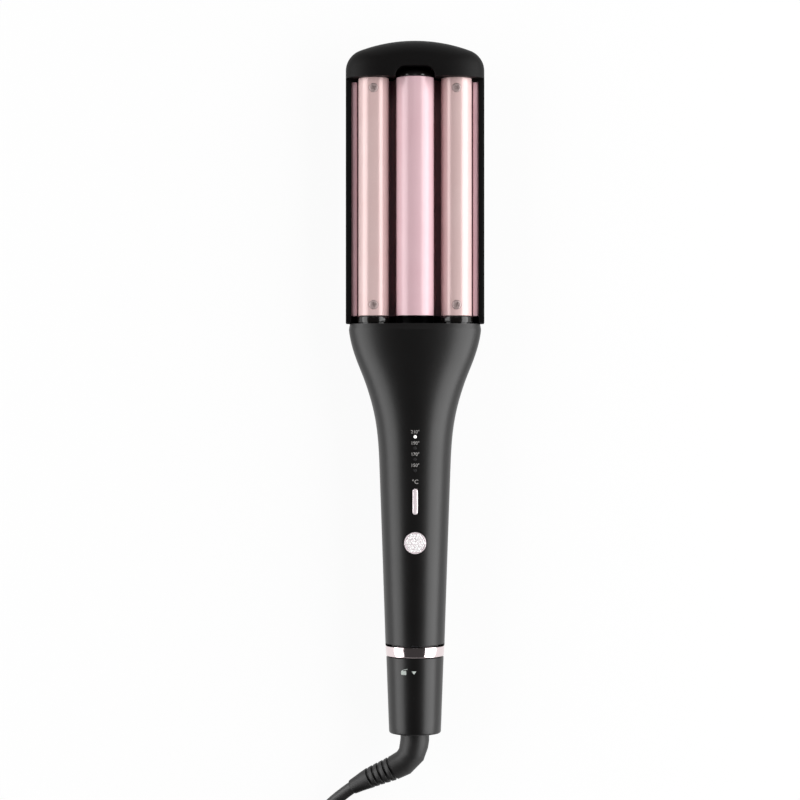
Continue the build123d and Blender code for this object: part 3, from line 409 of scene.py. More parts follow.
# Fired alumina of the heater plates and the fuse: chalky, warm white, a little mottled.
alumina = new_material("fired_alumina", Roughness=0.7, IOR=1.6)
work_surface(alumina, 3, ("#cfc9bd", "#e6e1d6"), detail=5.0)

# Silicone rubber of the leads: soft sheen, dusted with talc in places.
silicone = new_material("silicone_insulation", Roughness=0.5, IOR=1.41)
work_surface(silicone, 5, ("#7c2f2b", "#99605a"), detail=6.0)

# White ceramic package of the lights, with yellow phosphor showing through in spots.
lamp_white = new_material("light_package", Roughness=0.35)
work_surface(lamp_white, 0.9, ("#f1efe8", "#e9d98c"), detail=1.0)

dress(board_green, "control_board")
dress(epoxy_black, "board_parts", "power_switch", "temp_switch")
dress(alumina, "thermal_fuse", "ridge_heater", "left_barrel_heater", "right_barrel_heater")
dress(silicone, "front_lead_wires", "rear_lead_wires")
dress(lamp_white, "indicator_leds")


# ---- Power button ----
# A round cap with a thin raised rim, paved with cut glass stones, on a flanged stem. The cap is
# moulded, metallised and lacquered; the stones are glued in.

def turn(name, foot, along, profile, segments=64, ring=False):
    """Turn a profile of (distance along, radius) in mm about the axis that starts at foot. A ring
    is closed from its last circle back to its first, anything else by a flat face at each end."""
    foot, along = Vector(foot), Vector(along)
    distance, radius = profile[0]
    start_piece(
        name, bpy.ops.mesh.primitive_circle_add, foot + along * distance, vertices=segments,
        radius=radius, rotation=along.to_track_quat("Z", "Y").to_euler(),
    )
    for next_distance, next_radius in profile[1:]:
        ratio = next_radius / radius
        step = along * (next_distance - distance)
        pull_ring(step, foot + along * next_distance, (ratio, ratio, ratio))
        distance, radius = next_distance, next_radius
    bpy.ops.mesh.select_mode(type="EDGE")
    bpy.ops.mesh.select_all(action="DESELECT")
    bpy.ops.mesh.select_non_manifold()
    if ring:
        bpy.ops.mesh.bridge_edge_loops()
    else:
        bpy.ops.mesh.fill_holes(sides=0)
    return shut()


def join(first, *others):
    """Join pieces into the first one."""
    only(first)
    for other in others:
        other.select_set(True)
    bpy.ops.object.join()


def surface_z(y):
    """The height of the handle's front along its middle line."""
    return 2 * handle_axis(y).z


plunger_top, face_z, cap_r, flange_r = 26.6, surface_z(button_y), 5.6, 6.65
button = turn(
    "power_button_cap", (0, button_y, 0), (0, 0, 1),
    [
        (plunger_top, 5.3), (plunger_top + 0.2, flange_r), (plunger_top + 1.0, flange_r),
        (plunger_top + 1.0, cap_r), (face_z + 0.1, cap_r), (face_z + 0.32, cap_r - 0.08),
        (face_z + 0.42, cap_r - 0.25), (face_z + 0.42, cap_r - 0.4), (face_z + 0.25, cap_r - 0.5),
        (face_z + 0.28, 3.0), (face_z + 0.3, 0.6),
    ],
)

# One stone: an eight-sided girdle, a ring of slanting facets and a small table on top.
stone_pitch, stone_r, paved_r = 1.5, 0.82, 4.7
stone = start_piece(
    "stone", bpy.ops.mesh.primitive_circle_add, (0, 0, -0.1), vertices=8, radius=stone_r,
    fill_type="NGON",
)
extrude((0, 0, 0.15))
pull_ring((0, 0, 0.2), (0, 0, 0.25), (0.52, 0.52, 1))
shut()
stones = []
for row in range(-4, 5):
    for column in range(-5, 6):
        x = (column + row / 2) * stone_pitch
        y = row * stone_pitch * sqrt(3) / 2
        if sqrt(x * x + y * y) > paved_r:
            continue
        one = copy_of(stone, "stone_copy")
        one.location = Vector((x, button_y + y, face_z + 0.28)) * mm
        # Each leans its own way, by up to 9 degrees.
        lean_x, lean_y = sin(5 * row + 3 * column), sin(2 * row - 7 * column)
        one.rotation_euler = (0.16 * lean_x, 0.16 * lean_y, 0.4 * column)
        stones.append(one)
bpy.data.objects.remove(stone)
join(*stones)
stones = stones[0]
stones.name = "power_button_stones"
only(stones)
bpy.ops.object.transform_apply(location=True, rotation=True, scale=True)
smooth(button)

# Pearl rose lacquer over a thin metallised coat: pale and nearly white, its mica drawn 0.5 mm
# across.
rose_pearl = new_material("pearl_rose_lacquer", Metallic=0.25, Roughness=0.28, IOR=1.5)
work_surface(rose_pearl, 0.5, ("#f6ecef", "#ecdee3"), relief=(0.05, 0.03))

# Foil-backed cut glass: milky white, each stone throwing back the lamps from its own few facets,
# and some of them greyer or pinker than others.
cut_glass = new_material("foiled_cut_glass", Metallic=0.15, Roughness=0.22)
place = add_node(cut_glass, "ShaderNodeTexCoord", {})
cells = {"Vector": place, "Scale": 1 / (1.1 * mm), "Detail": 0.0}
cells = add_node(cut_glass, "ShaderNodeTexNoise", cells)
spread = {"Value": cells, "From Min": 0.35, "From Max": 0.65}
spread = add_node(cut_glass, "ShaderNodeMapRange", spread)
add_node(
    cut_glass, "ShaderNodeMix", {"Factor": spread, "A": linear("#ffffff"), "B": linear("#ebe3e5")},
    "Base Color", data_type="RGBA",
)
fit(button, rose_pearl, "power_button", "rose_button", "power_button")
fit(stones, cut_glass, "power_button", "crystal_button", "power_button")

# Plungers: natural acetal, milky and slightly waxy.
acetal = new_material("natural_acetal", Roughness=0.4, IOR=1.48)
work_surface(acetal, 2, ("#dcdad2", "#efeee9"))
dress(acetal, "power_plunger", "temp_plunger")


# ---- Temperature button ----
# A narrow bar with round ends and softened edges, moulded and lacquered as the power button is.
# A skirt inside the handle keeps it from falling out.

bar = pill_blank("temp_button_bar", 0.0, plunger_top, surface_z(pill_y) + 0.5)
soften(bar, 0.7, 5, angle=60)
skirt = pill_blank("skirt", 0.9, plunger_top, plunger_top + 1.0)
soften(skirt, 0.2, 2, angle=60)
join(bar, skirt)
smooth(bar)
fit(bar, rose_pearl, "temp_button", "rose_button", "temp_button")


# ---- Light pipes and markings ----
# Four clear acrylic pipes carry the lights of the board up to the surface; the first one is lit.
# The temperatures beside them are pad-printed in warm grey ink.

# Clear acrylic over a dark hole, its colour painted shade: a dark grey that stands in for the shade
# of the hole seen through the clear pipe, a little lighter or darker at random in its depth. The
# surface is polished.
acrylic_painted_hole_shade = new_material("acrylic_painted_hole_shade", Roughness=0.08, IOR=1.49)
work_surface(acrylic_painted_hole_shade, 1.0, ("#232223", "#343334"))

# The lit pipe: the same acrylic, filled with the white of the light under it.
lit_acrylic = new_material(
    "lit_acrylic", "#f7f5f2", Roughness=0.15, IOR=1.49, Emission_Strength=0.7
)
work_surface(lit_acrylic, 1.0, ("#ffffff", "#efece8"), into="Emission Color")

board_top, pipe_r, pipe_foot_r = 23.0, 0.8, 1.3
for number, light_y in enumerate(light_ys):
    top = surface_z(light_y)
    pipe = turn(
        f"light_pipe_{number + 1}", (0, light_y, 0), (0, 0, 1),
        [
            (board_top + 0.9, pipe_foot_r), (board_top + 2.4, pipe_foot_r),
            (board_top + 2.4, pipe_r), (top - 0.1, pipe_r), (top + 0.04, 0.66), (top + 0.09, 0.35),
        ],
        segments=32,
    )
    smooth(pipe)
    # The unlit pipes take the acrylic whose dark grey is painted shade of the holes under them.
    acrylic = acrylic_painted_hole_shade if number else lit_acrylic
    fit(pipe, acrylic, "front_arm", "lens_clear", "indicator_lenses")


def lay_on(mark, ground, stand=0.03):
    """Drop a flat mark, already over its place, on to the surface below it."""
    edit(mark)
    bpy.ops.mesh.quads_convert_to_tris()
    bpy.ops.mesh.subdivide(number_cuts=1)
    leave()
    modify(
        mark, "SHRINKWRAP", target=ground, wrap_method="PROJECT", use_project_z=True,
        use_negative_direction=True, use_positive_direction=False, offset=stand * mm,
    )
    modify(mark, "SOLIDIFY", thickness=stand * 0.7 * mm, offset=-1)


# Pad-printing ink: matt warm grey, thinner in places so that the black shows through it.
printed_ink = new_material("pad_printed_ink", Roughness=0.6)
work_surface(printed_ink, 0.4, ("#8d8a88", "#bdbab8"), detail=3.0)

for name, words, word_y, height in [
    ("mark_210", "210°", -22.9, 1.7), ("mark_190", "190°", -28.7, 1.7),
    ("mark_170", "170°", -34.4, 1.7), ("mark_150", "150°", -40.1, 1.7),
    ("mark_unit", "°C", -48.6, 2.2),
]:
    bpy.ops.object.select_all(action="DESELECT")
    bpy.ops.object.text_add(location=Vector((0, word_y, 38)) * mm)
    mark = bpy.context.object
    mark.name = name
    mark.data.body = words
    mark.data.size = height * 1.4 * mm
    mark.data.align_x, mark.data.align_y = "CENTER", "CENTER"
    bpy.ops.object.convert(target="MESH")
    bpy.ops.object.transform_apply(location=True, rotation=True, scale=True)
    lay_on(mark, front_shell)
    fit(mark, printed_ink, "front_arm", "component_black")


# ---- Barrels ----
# Two drawn aluminium tubes, sprayed and baked in rose-gold ceramic. Each is slipped over a plug at
# both ends and held there by a screw at each; a heater bar lies inside on two saddles.

barrel_x, barrel_z, barrel_r, bore_r = 21.4, 20.0, 7.95, 6.95
plate_y0, plate_y1 = 37.0, 160.0
plate_len = plate_y1 - plate_y0
screw_ys = [plate_y0 + 5.6, plate_y1 - 5.6]


def baked_ceramic(name, light, deep, pearl):
    """A pearly baked coat on metal: it takes the lamps as wide soft bands, and its flakes, drawn
    0.35 mm apart, make the bands faintly grainy."""
    coat = new_material(name, Metallic=pearl, Roughness=0.25, IOR=1.45)
    work_surface(coat, 18, (light, deep))
    work_surface(coat, 0.35, roughness=(0.22, 0.3), relief=(0.06, 0.02))
    return coat


rose_gold = baked_ceramic("baked_rose_gold_ceramic", "#dcc2c0", "#d5b5b3", 0.12)
for name, side in (("left_barrel", -1), ("right_barrel", 1)):
    tube = turn(
        name + "_tube", (side * barrel_x, plate_y0, barrel_z), (0, 1, 0),
        [
            (0, bore_r), (0, 7.7), (0.25, barrel_r), (2.6, barrel_r), (8.6, barrel_r),
            (30, barrel_r), (plate_len - 30, barrel_r), (plate_len - 8.6, barrel_r),
            (plate_len - 2.6, barrel_r), (plate_len - 0.25, barrel_r), (plate_len, 7.7),
            (plate_len, bore_r),
        ],
        segments=96, ring=True,
    )
    wells = [drill((side * barrel_x, y, barrel_z + 8.5), 2.4, 6, vertices=48) for y in screw_ys]
    cut_away(tube, *wells)
    smooth(tube, 40)
    fit(tube, rose_gold, "front_arm", "rose_barrel", name)

# Extruded aluminium of the saddles: grey, with drawing lines along the tool.
extruded_aluminium = new_material("extruded_aluminium", "#c6c8ca", Metallic=1.0, Roughness=0.35)
work_surface(extruded_aluminium, 0.3, relief=(0.25, 0.03), stretch=(1.0, 0.03, 1.0))
dress(extruded_aluminium, "left_heater_saddles", "right_heater_saddles", "ridge_saddle")


# ---- Barrel screws ----
# Four pan-head screws with a cross recess, in dull nickel-plated steel. Each is sunk in its well
# near a barrel's end, and holds the barrel to the plug inside it.

seat_z = barrel_z + barrel_r - 0.5
screw = turn(
    "pan_head_screw", (0, 0, 0), (0, 0, 1),
    [
        (-6, 0.5), (-5.4, 1.1), (0, 1.1), (0, 2.15), (0.12, 2.3), (0.5, 2.3), (0.72, 2.2),
        (0.9, 1.95), (1.0, 1.55), (1.03, 0.8),
    ],
    segments=48,
)
slots = []
for turned in (0, pi / 2):
    start_piece(
        "slot_cutter", bpy.ops.mesh.primitive_cube_add, (0, 0, 1.0), size=1, scale=(2.5, 0.52, 1.0),
        rotation=(0, 0, turned),
    )
    slots.append(leave())
cut_away(screw, *slots)
soften(screw, 0.06, 2)
smooth(screw, 40)

# Dull nickel on steel under heat-proof lacquer: warm and greyish, cloudier where the heat has been.
dull_nickel = new_material("lacquered_nickel_screw", Metallic=0.35, Roughness=0.45)
work_surface(dull_nickel, 0.9, ("#937f7e", "#c3b1af"), detail=4.0)
for number, (side, screw_y, turned) in enumerate(
    [(-1, screw_ys[1], 0.5), (1, screw_ys[1], 0.9), (-1, screw_ys[0], 0.2), (1, screw_ys[0], 1.2)]
):
    one = copy_of(screw, f"barrel_screw_{number + 1}")
    one.location = Vector((side * barrel_x, screw_y, seat_z)) * mm
    one.rotation_euler = (0, 0, turned)
    only(one)
    bpy.ops.object.transform_apply(location=True, rotation=True, scale=True)
    fit(one, dull_nickel, "front_arm", "steel", "barrel_screws")
bpy.data.objects.remove(screw)


# ---- Front collar ----
# A glossy black moulding in heat-proof plastic. Its plate closes the front shell's shoulder, and
# each of its two lobes backs a barrel and carries the plug that the barrel slips over.

# Polished polyphenylene sulphide: deep black under a hard shine that mirrors the lamps.
black_gloss = new_material("polished_heatproof_plastic", "#0e0c0b", Roughness=0.18, IOR=1.47)
work_surface(black_gloss, 4, roughness=(0.14, 0.22), relief=(0.08, 0.1), detail=1.0)

rim_z = handle_axis(rim_y).z
rim_half_w, rim_half_d, plug_r = 32.2, 14.3, 6.85
collar_y, straight, tapered = 30.0, 2.0, 0.95
plate = start_piece(
    "front_collar_piece", bpy.ops.mesh.primitive_circle_add, (0, collar_y, rim_z), vertices=96,
    radius=rim_half_w, rotation=(pi / 2, 0, 0), fill_type="NGON",
)
resize((1, 1, rim_half_d / rim_half_w), (0, collar_y, rim_z))
extrude((0, straight, 0))
pull_ring((0, tapered, 0), (0, collar_y + straight + tapered, rim_z), (0.985, 1, 0.975))
trim((0, 0, seam_z + seam_gap), (0, 0, -1))
shut()
lobes = []
for side in (-1, 1):
    lobe = turn(
        "lobe", (side * barrel_x, shoulder_y, barrel_z), (0, 1, 0),
        [
            (0.4, 7.9), (0.55, 8.3), (1.0, 8.45), (3.0, 8.45), (3.5, 8.36), (3.85, 8.1),
            (3.99, 7.6), (3.99, plug_r), (16.0, plug_r),
        ],
        segments=96,
    )
    lobe_foot = (side * barrel_x, 32.5, barrel_z)
    foot = turn("foot", lobe_foot, (0, 1, 0), [(0, 7.6), (1.2, 7.6)], segments=96)
    edit(foot)
    trim((0, 0, seam_z + 0.35), (0, 0, -1))
    leave()
    lobes += [lobe, foot]
join(plate, *lobes)
smooth(plate, 40)
fit(plate, black_gloss, "front_arm", "black_gloss", "front_collar")


# ---- Tip cap ----
# A hollow arched cap moulded in matt black, with a notch for the ridge's top plug. Plugs behind
# it carry the far ends of the barrels.

tip_y, head_half_w, arc_r, corner_r = 179.5, 35.9, 82.0, 11.0
cap_foot_z, crown_z, cap_wall = 20.3, 33.0, 1.55
side_y, draw_centre_y, draw_in = 120, 161.55, 24


def tip_blank(name, inset, y_from, z_from):
    """The cap's closed dome on its arched plan, drawn in by inset, kept beyond one place."""
    half_w, arc = head_half_w - inset, arc_r - inset
    arc_y, corner = tip_y - arc_r, corner_r - inset
    corner_x = half_w - corner
    corner_y = arc_y + sqrt((arc - corner) ** 2 - corner_x**2)
    lean = asin(corner_x / (arc - corner))
    start_piece(name, bpy.ops.mesh.primitive_plane_add, (half_w, side_y, z_from), size=1)
    # The plane shrinks to one vertex, which draws the plan: side, corner, arc, corner, side.
    bpy.ops.mesh.select_mode(type="VERT")
    bpy.ops.mesh.merge(type="CENTER")
    extrude((0, corner_y - side_y, 0))
    for x, y, angle, steps in [
        (corner_x, corner_y, pi / 2 - lean, 10), (0, arc_y, 2 * lean, 24),
        (-corner_x, corner_y, pi / 2 - lean, 10),
    ]:
        centre = Vector((x, y, z_from)) * mm
        bpy.ops.mesh.spin(steps=steps, angle=angle, center=centre, axis=(0, 0, -1))
    extrude((0, side_y - corner_y, 0))
    bpy.ops.mesh.select_all(action="SELECT")
    bpy.ops.mesh.remove_doubles(threshold=0.001 * mm)
    bpy.ops.mesh.edge_face_add()
    rise, steps, size, height = crown_z - inset - z_from, 12, 1.0, 0.0
    for k in range(1, steps + 1):
        angle = pi / 2 * k / steps
        next_size = 1 - (draw_in / head_half_w) * (1 - cos(angle))
        next_height = rise * sin(angle)
        ratio = next_size / size
        middle = (0, draw_centre_y, z_from + next_height)
        pull_ring((0, 0, next_height - height), middle, (ratio, ratio, 1))
        size, height = next_size, next_height
    trim((0, y_from, 0), (0, -1, 0))
    return shut()


cap = tip_blank("tip_cap", 0.0, plate_y1, cap_foot_z)
hollow = tip_blank("cap_hollow", cap_wall, plate_y1 + 7.8, 19.0)
start_piece(
    "notch", bpy.ops.mesh.primitive_cube_add, (0, plate_y1 + 2.15, 26), size=1,
    scale=(20.4, 6.3, 30),
)
pick("edges", lambda p: abs(p.x) > 10 and p.y > plate_y1 + 5 and abs(p.z - 26) < 1)
bpy.ops.mesh.bevel(offset=4.9 * mm, segments=8, affect="EDGES")
cut_away(cap, hollow, leave())
soften(cap, 0.35, 3)
plug_profile = [(-12, plug_r - 0.45), (-11.5, plug_r), (2.2, plug_r)]
ends = [
    turn("cap_plug", (side * barrel_x, plate_y1, barrel_z), (0, 1, 0), plug_profile)
    for side in (-1, 1)
]
join(cap, *ends)
smooth(cap, 36)

# Soft-touch lacquer for the parts next to the heat: velvety, nearly without shine, with a fine
# orange-peel 0.8 mm across.
black_velvet = new_material(
    "matt_heatproof_lacquer", "#0e0d0d", Roughness=0.5, IOR=1.45, Specular_IOR_Level=0.12
)
work_surface(black_velvet, 0.8, roughness=(0.44, 0.56), relief=(0.15, 0.05))
fit(cap, black_velvet, "front_arm", "black_pc", "front_tip_cap")


# ---- Head housing and W plate ----
# The rear arm's head is one deep moulding with ribs. The W plate is pressed from one aluminium
# sheet, baked in pink ceramic, and drops into the housing with its lips bent in under ledges.

rose_pink = baked_ceramic("baked_rose_pink_ceramic", "#dcbbc1", "#d4aeb6", 0.04)
trough_r, ridge_r, plate_t, ridge_z = 11.65, 9.75, 1.2, 22.0
# Along the W: the right lip's edge, its bend, the trough, the ridge, the other trough and lip.
lip_turn, bend_r, lip_edge = radians(12), 1.1, 30.0
wall_r = trough_r + plate_t / 2
bend_x = barrel_x + (wall_r - bend_r) * cos(lip_turn)
bend_z = barrel_z - (wall_r - bend_r) * sin(lip_turn)
lip_middle = (lip_edge, plate_y0 + plate_len / 2, bend_z + bend_r)
w_plate = start_piece(
    "w_plate", bpy.ops.mesh.primitive_plane_add, lip_middle, size=1, rotation=(0, pi / 2, 0)
)
resize((1, plate_len, plate_t), lip_middle)
extrude((bend_x - lip_edge, 0, 0))
bends = [  # middle, angle, axis, steps and how far it then runs straight on
    ((bend_x, 0, bend_z), pi / 2 + lip_turn, (0, -1, 0), 8, (0, 0, 0)),
    ((barrel_x, 0, barrel_z), pi - lip_turn, (0, -1, 0), 32, (0, 0, ridge_z - barrel_z)),
    ((0, 0, ridge_z), pi, (0, 1, 0), 32, (0, 0, barrel_z - ridge_z)),
    ((-barrel_x, 0, barrel_z), pi - lip_turn, (0, -1, 0), 32, (0, 0, 0)),
    ((-bend_x, 0, bend_z), pi / 2 + lip_turn, (0, -1, 0), 8, (bend_x - lip_edge, 0, 0)),
]
for middle, angle, axis, steps, run in bends:
    bpy.ops.mesh.spin(steps=steps, angle=angle, center=Vector(middle) * mm, axis=axis)
    if any(run):
        extrude(run)
bpy.ops.mesh.select_all(action="SELECT")
bpy.ops.mesh.remove_doubles(threshold=0.001 * mm)
shut()
soften(w_plate, 0.4, 3, angle=60)
smooth(w_plate, 40)
fit(w_plate, rose_pink, "rear_arm", "rose_ridge", "wave_plate")
dress(black_velvet, "rear_head_housing")

# A ledge along each wall covers the plate's bend, and a tab at its tip end covers the trough's.
ledge_middle, ledge_size, tab_y = (34.25, 98.45, 19.78), (2.4, 122.7, 0.75), 158.2
ledge = start_piece("housing_ledge", bpy.ops.mesh.primitive_cube_add, ledge_middle, size=1)
resize(ledge_size, ledge_middle)
bpy.ops.mesh.bisect(plane_co=(0, tab_y * mm, 0), plane_no=(0, 1, 0))
pick("faces", lambda p: p.x < 33.2 and p.y > tab_y + 0.1)
extrude((-3.15, 0, 0))
shut()
soften(ledge, 0.2, 3)
other_ledge = copy_of(ledge, "housing_ledge_left")
other_ledge.scale = (-1, 1, 1)
bpy.ops.object.transform_apply(location=False, rotation=False, scale=True)
edit(other_ledge)
shut()
join(ledge, other_ledge)
smooth(ledge)
fit(ledge, black_velvet, "rear_arm", "black_pc")


# ---- Ridge plugs ----
# A glossy heat-proof plug closes each end of the ridge, screwed to the housing from behind. The
# top one is domed where it meets the tip; the bottom one is the collar's middle lobe.

ridge_core_r = 8.45


def ridge_end(name, profile, core_y0, core_y1):
    """A turned lobe, cut at the ridge's middle height and drawn down to its foot, with the round
    core that sits in the ridge."""
    lobe = turn(name, (0, 0, ridge_z), (0, 1, 0), profile, segments=96)
    edit(lobe)
    trim((0, 0, ridge_z), (0, 0, -1))
    pull_ring((0, 0, -2), (0, 0, ridge_z - 2), (0.966, 1, 1))
    extrude((0, 0, -6))
    shut()
    core_profile = [(core_y0, ridge_core_r), (core_y1, ridge_core_r)]
    core = turn("plug_core", (0, 0, ridge_z), (0, 1, 0), core_profile)
    join(lobe, core)
    smooth(lobe, 40)
    return lobe


bottom_plug = ridge_end(
    "bottom_ridge_plug",
    [
        (33.35, 9.6), (33.5, 10.0), (33.95, 10.2), (36.0, 10.2), (36.5, 10.1), (36.85, 9.8),
        (36.99, 9.2),
    ],
    36.8, 49.0,
)
top_plug = ridge_end(
    "top_ridge_plug",
    [
        (160.01, 9.1), (160.15, 9.6), (160.35, ridge_r), (161.1, 9.62), (161.8, 9.36),
        (162.4, 8.96), (162.9, 8.42), (163.3, 7.65), (163.6, 6.5), (163.8, 4.8), (163.9, 2.0),
    ],
    148.0, 160.2,
)
fit(bottom_plug, black_gloss, "rear_arm", "black_gloss", "ridge_bottom_plug")
fit(top_plug, black_gloss, "rear_arm", "black_gloss", "ridge_top_plug")


# ---- Trim ring ----
# A turned collar in rose-tinted chrome that hides the joint between handle and end cap. It is
# pressed on the tail core.

# Chrome over a rose tint: a near mirror, softened by a brushed polish drawn 0.6 mm apart.
rose_chrome = new_material("rose_tinted_chrome", "#eadcdd", Metallic=1.0, Roughness=0.09)
work_surface(rose_chrome, 0.6, roughness=(0.06, 0.13))

ring_y, core_r = -139.3, 11.05
trim_ring = turn(
    "trim_ring_turned", (0, ring_y, tail_depth), (0, 1, 0),
    [
        (0, core_r), (0, 14.65), (0.1, 14.88), (0.35, 15.02), (2.6, 15.22), (4.9, 15.39),
        (5.18, 15.3), (5.3, 15.05), (5.3, core_r),
    ],
    segments=128, ring=True,
)
smooth(trim_ring, 40)
fit(trim_ring, rose_chrome, "rear_arm", "rose_chrome", "trim_ring")


# ---- Tail core and cord swivel ----
# A fixed tube of plain black ABS in the rear arm's tail. The cord's bush turns inside it on brass
# slip rings, so that the cord never twists, and a steel clip keeps the end cap on it.

# Rolled brass: yellow, rubbed bright where the rings run.
brass = new_material("rolled_brass", "#d9b36a", Metallic=1.0, Roughness=0.25)
work_surface(brass, 1.2, roughness=(0.15, 0.35), detail=3.0)
dress(inner_black, "tail_core", "swivel_bush")
dress(brass, "contact_brushes", "contact_rings")


# ---- End cap ----
# The lock collar: a satin cap that twists by 40 degrees to lock the arms shut. A padlock and a
# pointer are pad-printed on it.

cap_y = -179.5
end_cap = turn(
    "end_cap", (0, cap_y, tail_depth), (0, 1, 0),
    [
        (3.0, 8.1), (0.4, 8.1), (0.1, 8.3), (0, 8.6), (0, 12.4), (0.12, 12.9), (0.42, 13.25),
        (1.0, 13.5), (6.0, 13.7), (20.0, 14.2), (34.0, 14.7), (39.2, 14.88), (39.7, 14.8),
        (39.9, 14.5), (39.9, 11.08), (9.8, 11.08), (9.8, 12.3), (3.0, 12.3),
    ],
    segments=128, ring=True,
)
smooth(end_cap, 40)
fit(end_cap, black_satin, "lock_collar", "black_pc", "lock_collar")

# Padlock: a body with rounded corners under a bent shackle.
padlock_x, pointer_x, icon_y, over_z = -5.9, -0.6, -147.0, 36
padlock_middle = (padlock_x, icon_y, over_z)
padlock = start_piece("padlock_mark", bpy.ops.mesh.primitive_plane_add, padlock_middle, size=1)
resize((2.7, 2.0, 1), padlock_middle)
bpy.ops.mesh.bevel(offset=0.4 * mm, segments=3, affect="VERTICES")
leave()
shackle = start_piece(
    "shackle", bpy.ops.mesh.primitive_plane_add, (padlock_x + 0.8, icon_y + 1.0, over_z), size=0.45
)
pick("edges", lambda p: p.y > icon_y + 1.15)
extrude((0, 0.1, 0))
bow = Vector((padlock_x, icon_y + 1.325, over_z)) * mm
bpy.ops.mesh.spin(steps=12, angle=pi, center=bow, axis=(0, 0, 1))
extrude((0, -0.4, 0))
leave()
join(padlock, shackle)

pointer_middle = (pointer_x, icon_y + 0.4, over_z)
pointer = start_piece(
    "pointer_mark", bpy.ops.mesh.primitive_circle_add, pointer_middle, vertices=3, radius=1.35,
    fill_type="NGON", rotation=(0, 0, pi),
)
resize((1.1, 0.85, 1), pointer_middle)
bpy.ops.mesh.bevel(offset=0.2 * mm, segments=2, affect="VERTICES")
leave()

# A thin arc from the one to the other shows the way to turn.
arc_start, arc_middle = (-4.1, icon_y + 2.0, over_z), Vector((-3.6, icon_y - 4.3, over_z)) * mm
arc = start_piece("turn_arc", bpy.ops.mesh.primitive_plane_add, arc_start, size=0.28)
pick("edges", lambda p: p.x > -4.0)
bpy.ops.mesh.spin(steps=14, angle=radians(24), center=arc_middle, axis=(0, 0, -1))
leave()
join(pointer, arc)

# The ink of the two marks: a matt, slightly greenish white.
white_ink = new_material("white_pad_printed_ink", Roughness=0.6)
work_surface(white_ink, 0.8, ("#949b96", "#d8e0db"))
for mark in (padlock, pointer):
    lay_on(mark, end_cap)
    fit(mark, white_ink, "lock_collar", "component_black")


# ---- Strain relief ----
# A moulded rubber sleeve that turns with the cord: a plain neck in the end cap, then rings with
# gaps between them that let it bend, drawn down to the cord.

def smooth_path(points, resolution):
    """A smooth open line with these points, in mm, as its control points."""
    bpy.ops.object.select_all(action="DESELECT")
    bpy.ops.curve.primitive_nurbs_path_add()
    path = bpy.context.object
    spline = path.data.splines[0]
    spline.points.add(len(points) - len(spline.points))
    for point, where in zip(spline.points, points):
        point.co = (*(Vector(where) * mm), 1)
    spline.order_u = 3
    spline.use_endpoint_u = True
    path.data.resolution_u = resolution
    return path


sleeve_end = (-32.1, -208.6, 8.6)
sleeve_points = [  # from the bush out to the tip, along the bend
    (0, -170.0, 15.45), (0, -177.0, 15.45), (0, -184.5, 15.45), (-2.4, -193.2, 15.4),
    (-10.5, -197.8, 14.5), (-20.2, -202.0, 12.5), (-26.4, -205.1, 10.6), sleeve_end,
]
guide = smooth_path(sleeve_points, 24)
guide.data.twist_mode = "Z_UP"

sleeve_len, groove_from, groove_pitch, groove_depth = 58.0, 33.0, 3.1, 1.0
profile = [
    (0, 5.0), (0.0, 7.2), (0.3, 7.5), (13.0, 7.5), (16, 7.45), (21, 7.1), (27, 6.7), (32, 6.35),
]
for groove in range(5):
    distance = groove_from + groove_pitch * groove
    radius = 6.3 - 0.075 * (distance - groove_from)
    profile += [
        (distance, radius), (distance + 0.12, radius - 0.12),
        (distance + 0.3, radius - groove_depth), (distance + 1.1, radius - groove_depth),
        (distance + 1.28, radius - 0.15), (distance + 1.4, radius),
    ]
profile += [
    (50.5, 4.85), (53.5, 4.4), (sleeve_len - 1.2, 4.0), (sleeve_len - 0.3, 3.85), (sleeve_len, 3.5),
]
sleeve = turn("strain_sleeve", (0, 0, 0), (1, 0, 0), profile, segments=48)
modify(sleeve, "CURVE", object=guide, deform_axis="POS_X")
bpy.data.objects.remove(guide)
smooth(sleeve, 40)

# Moulded rubber: dead black, with a dusty bloom where hands have bent it.
bend_rubber = new_material("moulded_rubber", Roughness=0.5, IOR=1.45)
work_surface(bend_rubber, 5, ("#0e0d0d", "#191818"), detail=5.0)
fit(sleeve, bend_rubber, "cord_swivel", "strain_rubber", "strain_relief")


# ---- Mains plug ----
# A two-pin plug moulded straight on to the cord in black PVC, with a sleeve, a waist to pull it by
# and a flat face. Its pins are nickel-plated brass.

plug_x, plug_y, plug_z, face_r, pin_apart = -10.0, -322.0, 7.4, 6.85, 9.3
plug_stations = [  # distance along, radius and how far the two round sides stand apart
    (0, 4.25, 0), (0.3, 4.4, 0), (3.0, 4.7, 0), (3.2, 4.2, 0), (4.2, 4.3, 0), (4.4, 4.95, 0),
    (7.4, 5.3, 0), (7.6, 4.7, 0), (8.6, 4.8, 0), (8.8, 5.5, 0), (12.6, 5.85, 0), (14, 6.0, 0.9),
    (17, 6.35, 3.2), (20, 6.65, 6.6), (22, face_r, 8.8), (24.5, face_r, 9.55), (28, 6.6, 9.2),
    (32, 6.6, 9.2), (34.5, face_r, 9.6), (36.2, face_r, 9.65), (36.8, 6.6, 9.6), (37.0, 6.1, 9.55),
]
distance, radius, apart = plug_stations[0]
plug = start_piece(
    "mains_plug", bpy.ops.mesh.primitive_circle_add, (plug_x, plug_y, plug_z), vertices=48,
    radius=radius, rotation=(0, pi / 2, 0), fill_type="NGON",
)
for next_distance, next_radius, next_apart in plug_stations[1:]:
    extrude((next_distance - distance, 0, 0))
    end_x = plug_x + next_distance
    ratio = next_radius / radius
    for side in (-1, 1):
        pick("verts", lambda p: p.x > end_x - 0.02 and (p.y - plug_y) * side > 0.01 + 0.9 * apart)
        resize((1, ratio, ratio), (end_x, plug_y + side * apart, plug_z))
        bpy.ops.transform.translate(value=(0, side * (next_apart - apart) * mm, 0))
    pick("faces", lambda p: p.x > end_x - 0.02)
    distance, radius, apart = next_distance, next_radius, next_apart
shut()
